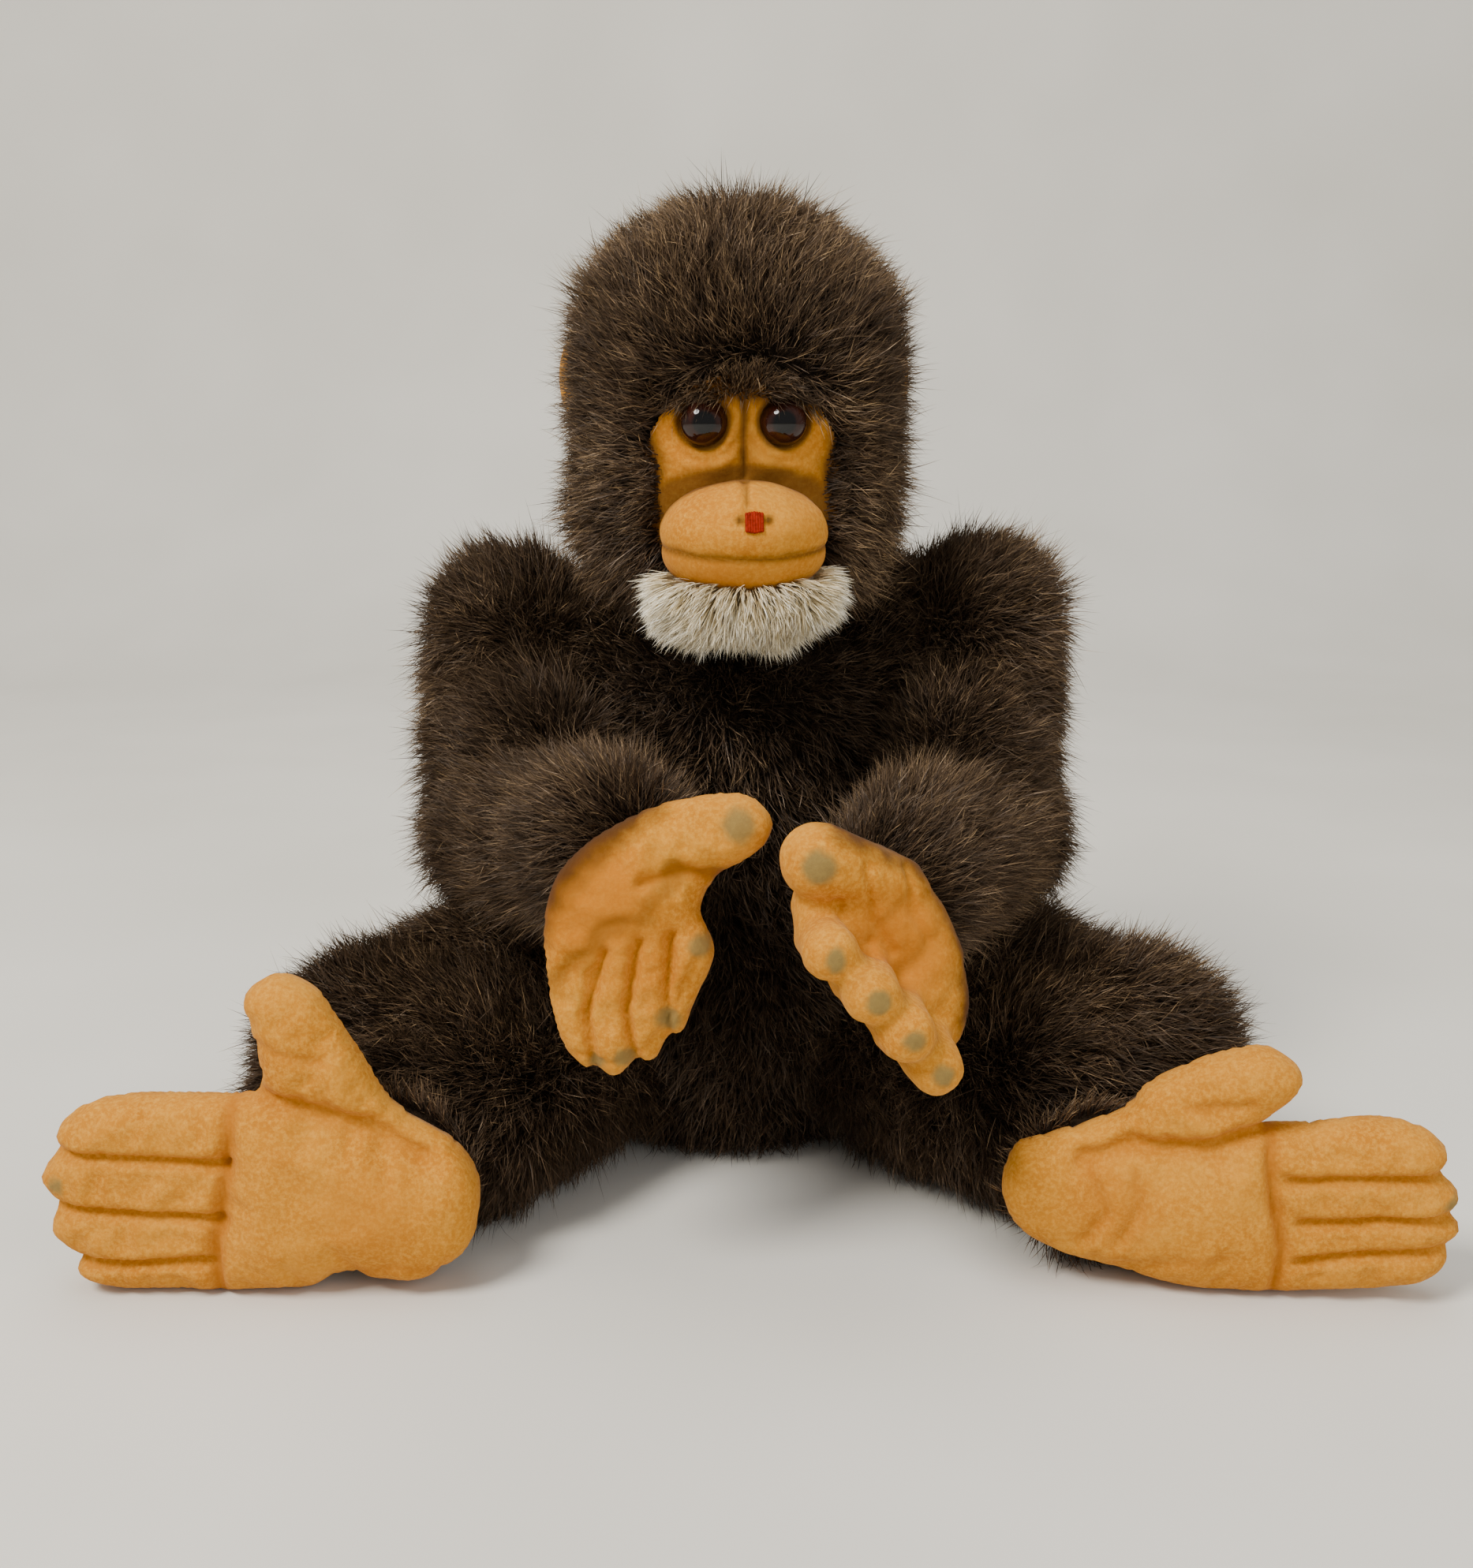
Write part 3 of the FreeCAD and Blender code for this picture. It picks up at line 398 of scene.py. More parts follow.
def fused(name, shapes, voxel, rounds, material):
    """Closed shapes melted into one skin of even triangles."""
    verts, tris, offset = [], [], 0
    for shape_verts, shape_tris in shapes:
        verts.append(shape_verts)
        tris.append(shape_tris + offset)
        offset += len(shape_verts)
    rough = build(name + "_parts", np.vstack(verts), np.vstack(tris), [])
    remesh = rough.modifiers.new("even", "REMESH")
    remesh.mode = "VOXEL"
    remesh.voxel_size = voxel * MM
    evaluated = rough.evaluated_get(bpy.context.evaluated_depsgraph_get())
    mesh = bpy.data.meshes.new_from_object(evaluated)
    out_verts, out_tris = points(mesh), triangles(mesh)
    bpy.data.objects.remove(rough)
    bpy.data.meshes.remove(mesh)
    return build(name, relaxed(out_verts, out_tris, rounds), out_tris, [material])


def shaped(obj, change):
    """Move a skin's points by a function of place and normal."""
    verts, tris = points(obj.data), triangles(obj.data)
    set_points(obj.data, change(verts, normals(verts, tris)))
    return obj


# ---------------------------------------------------------------- pile

def pile(name, skin, count, length, comb, coat, seed, keep=None, width=0.3, lift=0.55, clump=4.5,
         gather=0.4, frizz=0.13, light=0.0, tone_at=None):
    """Strands of pile rooted all over a skin. comb gives the way they lie, keep where they grow."""
    rng = np.random.default_rng(seed)
    verts, tris = points(skin.data), triangles(skin.data)
    smooth = normals(verts, tris)
    corners = verts[tris]
    area = np.linalg.norm(np.cross(corners[:, 1] - corners[:, 0], corners[:, 2] - corners[:, 0]), axis=1)
    pick = rng.choice(len(tris), size=int(count * 1.35) if keep else count, p=area / area.sum())
    r1, r2 = np.sqrt(rng.random(len(pick))), rng.random(len(pick))
    weights = np.stack([1 - r1, r1 * (1 - r2), r1 * r2], axis=1)[:, :, None]
    root = (corners[pick] * weights).sum(axis=1)
    out = unit((smooth[tris[pick]] * weights).sum(axis=1))
    if keep:
        stay = rng.random(len(root)) < keep(root, out)
        root, out = root[stay][:count], out[stay][:count]
    n = len(root)
    flow = comb(root, out)
    flow = flow - out * np.sum(flow * out, axis=1, keepdims=True)
    wander = noise3(root, 13, seed % 100 + 11) * 0.6 + noise3(root, 4.5, seed % 100 + 21) * 0.6
    wander += rng.normal(0, 0.2, (n, 3))
    start = unit(out + 0.35 * flow + 0.5 * wander)
    end = unit(out * lift + flow + wander)
    long = length * (0.82 + 0.18 * noise(root, 9, seed + 5)) * rng.uniform(0.7, 1.08, n)
    long = long[:, None]
    if clump:
        shift = clump_centres(root, clump, seed + 31) - root
        shift -= out * np.sum(shift * out, axis=1, keepdims=True)
        shift = shift * gather * rng.uniform(0.5, 1.0, (n, 1))
    else:
        shift = np.zeros((n, 3))
    curl = rng.normal(0, frizz, (n, 3)) * long
    path = []
    for s in (0.0, 0.38, 0.72, 1.0):
        path.append(root - out * 0.6 + long * (start * (s - s * s / 2) + end * (s * s / 2))
                    + shift * s ** 1.3 + curl * s * s)
    side = unit(np.cross(path[-1] - root, rng.normal(0, 1, (n, 3)))) * (width / 2)
    side = side * rng.uniform(0.7, 1.2, (n, 1))
    rows = [path[0] - side, path[0] + side, path[1] - side * 0.9, path[1] + side * 0.9,
            path[2] - side * 0.6, path[2] + side * 0.6, path[3]]
    all_verts = np.stack(rows, axis=1).reshape(-1, 3)
    all_verts[:, 2] = np.maximum(all_verts[:, 2], 0.15)
    pattern = np.array([(0, 1, 3), (0, 3, 2), (2, 3, 5), (2, 5, 4), (4, 5, 6)])
    all_tris = (np.arange(n) * 7)[:, None, None] + pattern[None]
    patches = 0.3 * noise(root, 16, seed + 41) + 0.18 * noise(root, 4, seed + 51)
    tone = 0.4 + patches + rng.normal(0, 0.17, n)
    tone = tone + light
    # The caller's function adds painted light and shade by place to the tone.
    if tone_at:
        tone = tone + tone_at(root, out)
    level = np.clip((tone * 4).astype(int), 0, 3)
    slots = np.zeros((n, 5), int)
    slots[:, 2:4] = (1 + 2 * level)[:, None]
    slots[:, 4] = 2 + 2 * level
    return build(name, all_verts, all_tris.reshape(-1, 3), coat, slots.reshape(-1), smooth=False)


def layered(name, skin, count, length, comb, seed, **settings):
    """A brown coat: dense and short below, longer and finer above, with a few stray wisps."""
    below = pile(name + "_lower", skin, count, length * 0.8, comb, BROWN_COAT, seed, light=-0.12, lift=0.7,
                 **settings)
    above = pile(name + "_upper", skin, count, length * 1.06, comb, BROWN_COAT, seed + 7, lift=0.5,
                 clump=5.0, gather=0.45, frizz=0.17, light=0.02, **settings)
    settings["width"] = 0.2
    wisps = pile(name + "_wisps", skin, count // 10, length * 1.14, comb, BROWN_COAT, seed + 13,
                 lift=0.6, clump=0, frizz=0.2, light=0.25, **settings)
    return below, above, wisps


# ---------------------------------------------------------------- sewn velour

def rounded(outline, spacing):
    """A smooth closed line through the outline's points, sampled evenly."""
    p = np.array(outline, float)
    n = len(p)
    fine = []
    for k in range(n):
        a, b, c, d = p[k - 1], p[k], p[(k + 1) % n], p[(k + 2) % n]
        t = np.linspace(0, 1, 24, endpoint=False)[:, None]
        fine.append(0.5 * (2 * b + (c - a) * t + (2 * a - 5 * b + 4 * c - d) * t ** 2
                           + (3 * b - a - 3 * c + d) * t ** 3))
    fine = np.vstack(fine)
    step = np.linalg.norm(np.roll(fine, -1, axis=0) - fine, axis=1)
    along = np.concatenate([[0], np.cumsum(step)])
    closed = np.vstack([fine, fine[:1]])
    at = np.linspace(0, along[-1], int(along[-1] / spacing), endpoint=False)
    return np.stack([np.interp(at, along, closed[:, k]) for k in range(2)], axis=1)


def line_distance(p, line, closed=False):
    """Distance from each flat point to a polyline."""
    line = np.asarray(line, float)
    ends = np.roll(line, -1, axis=0) if closed else line[1:]
    starts = line if closed else line[:-1]
    best = np.full(len(p), 1e9)
    for a, b in zip(starts, ends):
        d = b - a
        t = np.clip(((p - a) @ d) / max(float(d @ d), 1e-9), 0, 1)[:, None]
        best = np.minimum(best, np.linalg.norm(p - a - t * d, axis=1))
    return best


def inside(p, loop):
    """Which flat points are inside a closed line."""
    hit = np.zeros(len(p), bool)
    for a, b in zip(loop, np.roll(loop, -1, axis=0)):
        if a[1] == b[1]:
            continue
        crosses = (a[1] > p[:, 1]) != (b[1] > p[:, 1])
        hit ^= crosses & (p[:, 0] < (b[0] - a[0]) * (p[:, 1] - a[1]) / (b[1] - a[1]) + a[0])
    return hit


def sewn(name, outline, place, lift, front, back, edge, stitches=(), folds=(), seed=1, spacing=1.1,
         wrinkle=0.35):
    """Two panels of velour sewn round an outline and filled. stitches hold both faces together; folds
    only crease the front."""
    rim = rounded(outline, spacing)
    low, high = rim.min(axis=0), rim.max(axis=0)
    grid = np.array([(x + (row % 2) * spacing / 2, y)
                     for row, y in enumerate(np.arange(low[1], high[1], spacing * 0.866))
                     for x in np.arange(low[0], high[0], spacing)])
    grid = grid[inside(grid, rim)]
    grid = grid[line_distance(grid, rim, True) > spacing * 0.55]
    flat = [Vector(p) for p in np.vstack([rim, grid])]
    laid, _, faces, *_ = delaunay_2d_cdt(flat, [], [list(range(len(rim)))], 1, 1e-5)
    flat = np.array([tuple(p) for p in laid])
    tris = np.array(faces)
    a, b, c = (flat[tris[:, k]] for k in range(3))
    turn = (b[:, 0] - a[:, 0]) * (c[:, 1] - a[:, 1]) - (b[:, 1] - a[:, 1]) * (c[:, 0] - a[:, 0])
    tris[turn < 0] = tris[turn < 0][:, ::-1]
    depth = line_distance(flat, rim, True)
    depth[:len(rim)] = 0
    swell = np.sqrt(np.clip(1 - (1 - np.clip(depth / edge, 0, 1)) ** 2, 0, 1))
    pinch = np.ones(len(flat))
    crease = np.zeros(len(flat))
    held = (depth < spacing * 0.5).astype(float)
    for line, strength, wide in stitches:
        gap = line_distance(flat, line)
        near = np.exp(-(gap / wide) ** 2)
        pinch *= 1 - strength * near
        crease = np.maximum(crease, near * strength)
        held = np.maximum(held, gap < spacing * 0.7)
    for line, strength, wide in folds:
        near = np.exp(-(line_distance(flat, line) / wide) ** 2)
        crease = np.maximum(crease, near * min(1, strength / 2))
    spot = np.column_stack([flat, np.zeros(len(flat))])
    ripple = wrinkle * (noise(spot, 7, seed) + 0.6 * noise(spot, 3.2, seed + 3))
    top = swell * pinch * front + swell * ripple
    for line, strength, wide in folds:
        top -= swell * strength * np.exp(-(line_distance(flat, line) / wide) ** 2)
    bottom = -swell * (0.35 + 0.65 * pinch) * back
    edge_points = depth < 1e-6
    mirror = np.arange(len(flat)) + len(flat)
    mirror[edge_points] = np.nonzero(edge_points)[0]
    local = np.vstack([np.column_stack([flat, top]), np.column_stack([flat, bottom])])
    all_tris = np.vstack([tris, mirror[tris][:, ::-1]])
    used = np.unique(all_tris)
    renumber = np.full(len(local), -1)
    renumber[used] = np.arange(len(used))
    flat2 = np.vstack([flat, flat])[used]
    local, all_tris = local[used], renumber[all_tris]
    face_side = np.concatenate([np.ones(len(flat)), np.zeros(len(flat))])[used]
    depth2, crease2, held2 = (np.tile(field, 2)[used] for field in (depth, crease, held))
    local[:, 2] += lift
    made = build(name, place.out(local), all_tris, [VELOUR])
    return filled(made, held2), {"flat": flat2, "front": face_side, "depth": depth2, "crease": crease2}


def filled(obj, held, growth=0.05, pressure=3.0, cap=4.0):
    """Blow a sewn piece up as cloth that is a little larger than its outline, so that it puckers at its
    stitches. It runs at ten times the size, which suits the solver."""
    scene = bpy.context.scene
    verts, tris = points(obj.data), triangles(obj.data)
    middle = verts.mean(axis=0)
    trial = build(obj.name + "_trial", (verts - middle) * 10, tris, [])
    group = trial.vertex_groups.new(name="held")
    for level in (0.25, 0.5, 0.75, 1.0):
        members = np.nonzero(np.round(held * 4) == level * 4)[0]
        if len(members):
            group.add(members.tolist(), level, "REPLACE")
    cloth = trial.modifiers.new("filling", "CLOTH")
    cloth.settings.quality = 6
    cloth.settings.mass = 0.15
    cloth.settings.tension_stiffness = 12
    cloth.settings.compression_stiffness = 12
    cloth.settings.shear_stiffness = 6
    cloth.settings.bending_stiffness = 0.12
    cloth.settings.use_pressure = True
    cloth.settings.uniform_pressure_force = pressure
    cloth.settings.vertex_group_mass = "held"
    cloth.settings.shrink_min = -growth
    cloth.settings.effector_weights.gravity = 0
    cloth.collision_settings.use_collision = False
    cloth.point_cache.frame_start = 1
    cloth.point_cache.frame_end = 20
    for now in range(1, 21):
        scene.frame_set(now)
    done = trial.evaluated_get(bpy.context.evaluated_depsgraph_get())
    moved = points(done.data) / 10 + middle - verts
    reach = np.linalg.norm(moved, axis=1, keepdims=True)
    moved *= np.minimum(1, cap / np.maximum(reach, 1e-6))
    set_points(obj.data, relaxed(verts + moved, tris, 1, 0.3))
    scene.frame_set(1)
    bpy.data.objects.remove(trial)
    return obj


def paint(obj, info, shade_lines=(), pads=(), deep_spots=(), edge_shade=0.0, seed=3):
    """Airbrush, painted shade in the creases, rubbed pads and deeper colour on a sewn piece."""
    flat = info["flat"]
    spot = np.column_stack([flat, np.zeros(len(flat))])
    ragged = 1.2 * noise(spot, 4, seed) + 0.6 * noise(spot, 1.6, seed + 1)
    # Painted shade: darker along the stitch lines and folds, and along the rim when edge_shade is set.
    shade = 0.12 * info["crease"] + edge_shade * np.exp(-(info["depth"] / 2.0) ** 2)
    for line, wide, strength in shade_lines:
        gap = line_distance(flat, line) + ragged
        shade = np.maximum(shade, strength * (1 - ease(0.15 * wide, wide, gap)))
    pad = np.zeros(len(flat))
    for (x, y), radius in pads:
        gap = np.hypot(flat[:, 0] - x, flat[:, 1] - y) + ragged * 0.5
        pad = np.maximum(pad, 1 - ease(radius * 0.55, radius, gap))
    deep = np.zeros(len(flat))
    for (x, y), radius, strength in deep_spots:
        gap = np.hypot(flat[:, 0] - x, flat[:, 1] - y)
        deep = np.maximum(deep, strength * (1 - ease(radius * 0.3, radius, gap)))
    # Painted shade: deeper orange along the stitch lines and folds.
    deep = np.maximum(deep, 0.7 * info["crease"])
    return mark(obj, shade=shade, pad=pad * 0.75 * info["front"], deep=deep)


def plain_marks(obj):
    zero = np.zeros(len(obj.data.vertices))
    return mark(obj, shade=zero, pad=zero, deep=zero)


# ---------------------------------------------------------------- the head

def head_local(p):
    """Points in the head's own frame, from the neck joint, before its small turn."""
    q = p - NECK
    c, s = math.cos(-HEAD_TURN), math.sin(-HEAD_TURN)
    return np.stack([q[:, 0] * c - q[:, 1] * s, q[:, 0] * s + q[:, 1] * c, q[:, 2]], axis=1)


def head_world(q):
    q = np.asarray(q, float)
    c, s = math.cos(HEAD_TURN), math.sin(HEAD_TURN)
    x, y = q[..., 0], q[..., 1]
    return np.stack([x * c - y * s, x * s + y * c, q[..., 2]], axis=-1) + NECK


def head_egg(centre, *sizes):
    """An egg placed in the head's frame."""
    verts, tris = egg(centre, *sizes)
    return head_world(verts), tris


def window_gap(q):
    """Distance outside (+) or inside (-) the face opening's outline, seen from the front."""
    centre = np.clip(q[:, 2], 36, 39)
    return np.hypot(q[:, 0], q[:, 2] - centre) - 23.5


def hair_gap(q):
    """The same for the line where the pile stops, which lies inside the opening at the brow and muzzle."""
    half = 20.6 + 2.9 * ease(40, 50, q[:, 2])
    return np.maximum(np.abs(q[:, 0]) - half, q[:, 2] - 58.5 + 0.006 * q[:, 0] ** 2)


def make_head():
    skin = fused("head_skin", [barrel(NECK, 4, 104, 39.5, 39.5, 22, 36)], 2.0, 3, UNDERCOAT)

    def dish(verts, out):
        q = head_local(verts)
        front = (q[:, 1] < -15) & (window_gap(q) < 0)
        floor_y = -36 + 1.5 * np.clip(window_gap(q) + 1.5, 0, 1)
        q[:, 1] = np.where(front, np.maximum(q[:, 1], floor_y), q[:, 1])
        return head_world(q)

    shaped(skin, dish)

    def comb(p, out):
        q = head_local(p)
        radial = unit(np.stack([q[:, 0], np.zeros(len(q)), q[:, 2] - 44], axis=1))
        back = ease(-20, 25, q[:, 1])[:, None]
        crown = ease(86, 104, q[:, 2])[:, None]
        parting = np.tanh((q[:, 0] + 4) / 7) * 0.55
        away = np.stack([parting, np.full(len(q), 0.15), np.zeros(len(q))], axis=1)
        brow = (ease(11, 2, window_gap(q)) * ease(52, 60, q[:, 2]) * (q[:, 1] < 0))[:, None]
        radial = radial * (1 - brow) + np.array([0, -0.5, -0.75]) * brow
        flow = radial * (1 - back) + np.array([0, 0.35, 0]) + back * np.array([0, 0, -0.8])
        return flow * (1 - 0.6 * crown) + away * crown

    def keep(p, out):
        q = head_local(p)
        front = q[:, 1] < -10
        return np.where(front, ease(-0.6, 1.0, window_gap(q)), 1.0) * (q[:, 2] > 4)

    def tone_at(p, out):
        q = head_local(p)
        # Painted shade under the chin, painted light towards the crown; a little lighter at the back.
        chin_shade = 0.25 * (1 - ease(5, 25, q[:, 2]))
        return 0.04 + 0.12 * ease(60, 100, q[:, 2]) - chin_shade + 0.1 * ease(0, 30, q[:, 1])

    return skin, layered("head_pile", skin, 38000, 14.0, comb, 101, keep=keep, tone_at=tone_at)


def make_face():
    """Velour face with the eye pits, the centre seam and the folds under the eyes."""
    xs, zs = np.arange(-28, 28.01, 0.7), np.arange(8, 68.01, 0.7)
    gx, gz = np.meshgrid(xs, zs)
    x, z = gx.ravel(), gz.ravel()
    y = -np.sqrt(41.0 ** 2 - x ** 2)
    eye = np.minimum(np.hypot(x - 9.9, z - 52.5), np.hypot(x + 9.9, z - 52.5))
    bag = np.abs(np.hypot(np.abs(x) - 9.9, (z - 51.5) * 1.0) - 8.6)
    below = ease(52, 47, z)
    swell = 1.3 * np.exp(-((eye - 9.5) / 3.2) ** 2) - 2.2 * (1 - ease(4.5, 7.5, eye))
    swell -= 0.9 * below * np.exp(-(bag / 1.1) ** 2)
    swell += 1.6 * np.exp(-((z - 61) / 4) ** 2) * np.exp(-(x / 15) ** 2)
    seam = np.exp(-((x - 0.4 * np.sin(z * 0.5)) / 1.0) ** 2) * ease(36, 40, z) * ease(62, 57, z)
    swell -= 1.5 * seam
    swell += 0.9 * np.exp(-(((np.abs(x) - 5.0) / 3.0) ** 2)) * ease(36, 42, z) * ease(60, 52, z)
    spot = np.column_stack([x, z, y])
    swell += 0.3 * noise(spot, 6, 7) + 0.15 * noise(spot, 2.5, 9)
    y = y - swell
    rows, cols = gx.shape
    index = np.arange(rows * cols).reshape(rows, cols)
    a, b, c, d = index[:-1, :-1], index[:-1, 1:], index[1:, 1:], index[1:, :-1]
    tris = np.vstack([np.stack([a, b, c], -1).reshape(-1, 3), np.stack([a, c, d], -1).reshape(-1, 3)])
    q = np.column_stack([x, y, z])
    centre = q[tris].mean(axis=1)
    tris = tris[window_gap(centre) < 1.8]
    used = np.unique(tris)
    renumber = np.full(len(q), -1)
    renumber[used] = np.arange(len(used))
    q, tris = q[used], renumber[tris]
    face = build("face", head_world(q), tris, [VELOUR])
    thick = face.modifiers.new("thickness", "SOLIDIFY")
    thick.thickness = 2.0 * MM
    thick.offset = -1
    x, z = q[:, 0], q[:, 2]
    ragged = 1.3 * noise(q, 5, 13) + 0.7 * noise(q, 2, 14)
    rim = ease(-4.5, 1.0, hair_gap(q) + 0.6 * ragged)
    bridge = np.exp(-((x / 1.5) ** 2)) * ease(33, 37, z) * ease(66, 58, z)
    bridge = np.maximum(bridge, 0.55 * np.exp(-((x / 5.0) ** 2)) * ease(33, 39, z) * ease(66, 50, z))
    lids = np.exp(-((np.hypot(np.abs(x) - 9.9, z - 52.5) - 6.4) / 1.1) ** 2)
    above = ease(1.42, 1.12, np.hypot(x / 22, (z - 27) / 12.5) + 0.03 * ragged)
    shade = np.maximum.reduce([0.85 * rim, 0.85 * bridge, 0.7 * lids, 0.8 * above, 0.8 * ease(55, 61, z)])
    mark(face, shade=shade, pad=np.zeros(len(q)), deep=0.12 + 0.2 * noise(q, 8, 15))

    def comb(p, out):
        q = head_local(p)
        flow = unit(np.stack([q[:, 0], np.full(len(q), -4.0), (q[:, 2] - 44) * 0.5], axis=1))
        return flow + np.array([0, 0, -0.7]) * ease(50, 57, q[:, 2])[:, None]

    edge = pile("face_edge_pile", face, 9000, 8.5, comb, BROWN_COAT, 151, lift=0.7, frizz=0.17, light=-0.08,
                keep=lambda p, out: ease(-0.8, 1.2, hair_gap(head_local(p)) + 0.8 * noise(p, 3, 152)))
    return face, edge


def make_muzzle():
    """Muzzle with its centre seam and mouth, and the lower lip under it."""
    at = np.array([0, -42.0, 26.0])
    parts = [head_egg(at, 21.2, 19.6, 12.4), head_egg(at + (0, -3, 0.8), 18.5, 16, 11.9)]
    muzzle = fused("muzzle", parts, 1.0, 6, VELOUR)

    def crease(verts, out):
        q = head_local(verts)
        seam = np.exp(-(q[:, 0] / 0.9) ** 2) * ease(28.5, 31.5, q[:, 2]) * (q[:, 1] < -45)
        q_out = unit(head_local(verts + out) - q)
        q = q - q_out * (1.1 * seam)[:, None]
        ripple = 0.25 * noise(q, 6, 21) + 0.12 * noise(q, 2.4, 22)
        return head_world(q + q_out * ripple[:, None])

    shaped(muzzle, crease)
    q = head_local(points(muzzle.data))
    lip_at, lip_size = np.array([0, -41, 20.8]), np.array([20.8, 18.6, 11.6])
    meets = np.sum(((q - lip_at) / lip_size) ** 2, axis=1)
    # Painted shade along the mouth line, where the muzzle meets the lower lip.
    mouth_line_shade = np.exp(-((meets - 1) / 0.07) ** 2) * ease(26, 22, q[:, 2]) * (q[:, 1] < -38)
    nostril = np.minimum(np.hypot(q[:, 0] - 5.2, q[:, 2] - 29.9), np.hypot(q[:, 0] + 1.9, q[:, 2] - 29.9))
    rim = ease(-52, -45, q[:, 1] - 0.25 * np.abs(q[:, 0]) * (q[:, 2] > 24)) * ease(24, 30, q[:, 2])
    seam = 0.6 * np.exp(-(q[:, 0] / 0.7) ** 2) * ease(31, 34, q[:, 2])
    ragged = noise(q, 3, 23)
    nostrils = 0.9 * (1 - ease(0.5, 1.9, nostril + 0.3 * ragged)) * (q[:, 1] < -40)
    shade = np.maximum.reduce([0.6 * mouth_line_shade, nostrils, 0.75 * rim, seam])
    mark(muzzle, shade=shade, pad=np.zeros(len(q)), deep=0.1 + 0.15 * noise(q, 7, 24))

    lip = fused("lower_lip", [head_egg(lip_at, *lip_size)], 1.0, 4, VELOUR)
    q = head_local(points(lip.data))
    meets = np.sum(((q - at) / (21.2, 19.6, 12.4)) ** 2, axis=1)
    # Painted shade along the mouth line, where the lip tucks under the muzzle; a faint brown all over.
    mark(lip, shade=0.06 + 0.7 * np.exp(-((meets - 1) / 0.06) ** 2), pad=np.zeros(len(q)),
         deep=0.25 + 0.2 * noise(q, 5, 25))

    threads = []
    for k in range(7):
        x = -0.2 + k * 0.62
        tall = 2.2 - 0.1 * abs(k - 3)
        ends = 29.5 + np.array([-tall, tall])
        front = -42.25 - 19.6 * np.sqrt(1 - ((ends - 26) / 12.4) ** 2 - (x / 21.2) ** 2)
        foot, head = np.column_stack([[x, x], front, ends])
        verts, tris = capsule(foot, head, 0.42, 0.42)
        threads.append((head_world(verts), tris))
    offset, verts, tris = 0, [], []
    for v, t in threads:
        verts.append(v)
        tris.append(t + offset)
        offset += len(v)
    s = Shader("nose_thread", rough=0.7, specular=0.1)
    s.colour(s.ramp(s.noise(1200), (0.3, srgb(104, 18, 4)), (0.7, srgb(156, 36, 8))))
    nose = build("nose_stitches", np.vstack(verts), np.vstack(tris), [s.material])
    return muzzle, lip, nose


def make_eye(side):
    """A domed plastic eye: brown iris ring round a black pupil."""
    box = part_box(side + "_eye")
    low, high = np.array(box[0]) / MM, np.array(box[1]) / MM
    centre = (low + high) / 2
    front = head_world(np.array([[0, -1.0, 0]]))[0] - NECK
    across = (high[0] - low[0]) / 2
    base = np.array([centre[0], low[1] + 4.9, centre[2]])
    profile = [(-2.5, 0), (-2.5, 3.0), (0, 5.9)]
    curve = (across ** 2 + 4.9 ** 2) / (2 * 4.9)
    for t in np.linspace(0, 1, 20)[:-1]:
        radius = across * (1 - t)
        profile.append((math.sqrt(curve ** 2 - radius ** 2) - curve + 4.9, radius))
    profile.append((4.9, 0))
    verts, tris = turned(profile, base, front, 48)
    s = Shader(side + "_eye_plastic", rough=0.05, specular=0.4)
    s.colour(s.mix(s.ramp(s.attribute("iris"), (0.42, (0, 0, 0, 1)), (0.56, (1, 1, 1, 1))),
                   srgb(6, 5, 5), s.ramp(s.noise(300), (0.35, srgb(30, 12, 7)), (0.7, srgb(52, 23, 14)))))
    eye = build(side + "_eye_dome", verts, tris, [s.material])
    radius = np.linalg.norm(np.cross(verts - base, unit(front)), axis=1)
    return mark(eye, iris=radius / across)


def make_beard():
    base = fused("beard_skin", [head_egg((0, -41, 11), 20.5, 13, 9)], 1.6, 3, BEARD_BASE)

    def comb(p, out):
        q = head_local(p)
        return unit(np.stack([q[:, 0] * 0.04, np.full(len(q), -0.25), np.full(len(q), -1.0)], axis=1)) * 1.4

    def keep(p, out):
        q = head_local(p)
        return ((q[:, 1] < -26) & ((q[:, 2] < 14) | (np.abs(q[:, 0]) > 17))).astype(float)

    coat = pile("beard_pile", base, 15000, 13.0, comb, CREAM_COAT, 301, keep=keep, width=0.36, lift=0.6,
                clump=4.2, gather=0.7, frizz=0.08, light=0.15)
    return base, coat


def make_ear(side):
    hand = -1 if side == "right" else 1
    ear = fused(side + "_ear_velour", [head_egg((hand * 43.5, 12, 63), 4.6, 8, 11)], 1.0, 3, VELOUR)

    def cup(v, out):
        q = head_local(v)
        middle = np.hypot((q[:, 1] - 8) / 5.5, (q[:, 2] - 63) / 8.5)
        q[:, 1] += 2.0 * (1 - ease(0.3, 1.0, middle)) * (q[:, 1] < 12)
        return head_world(q)

    return plain_marks(shaped(ear, cup))


# ---------------------------------------------------------------- body, arms and legs

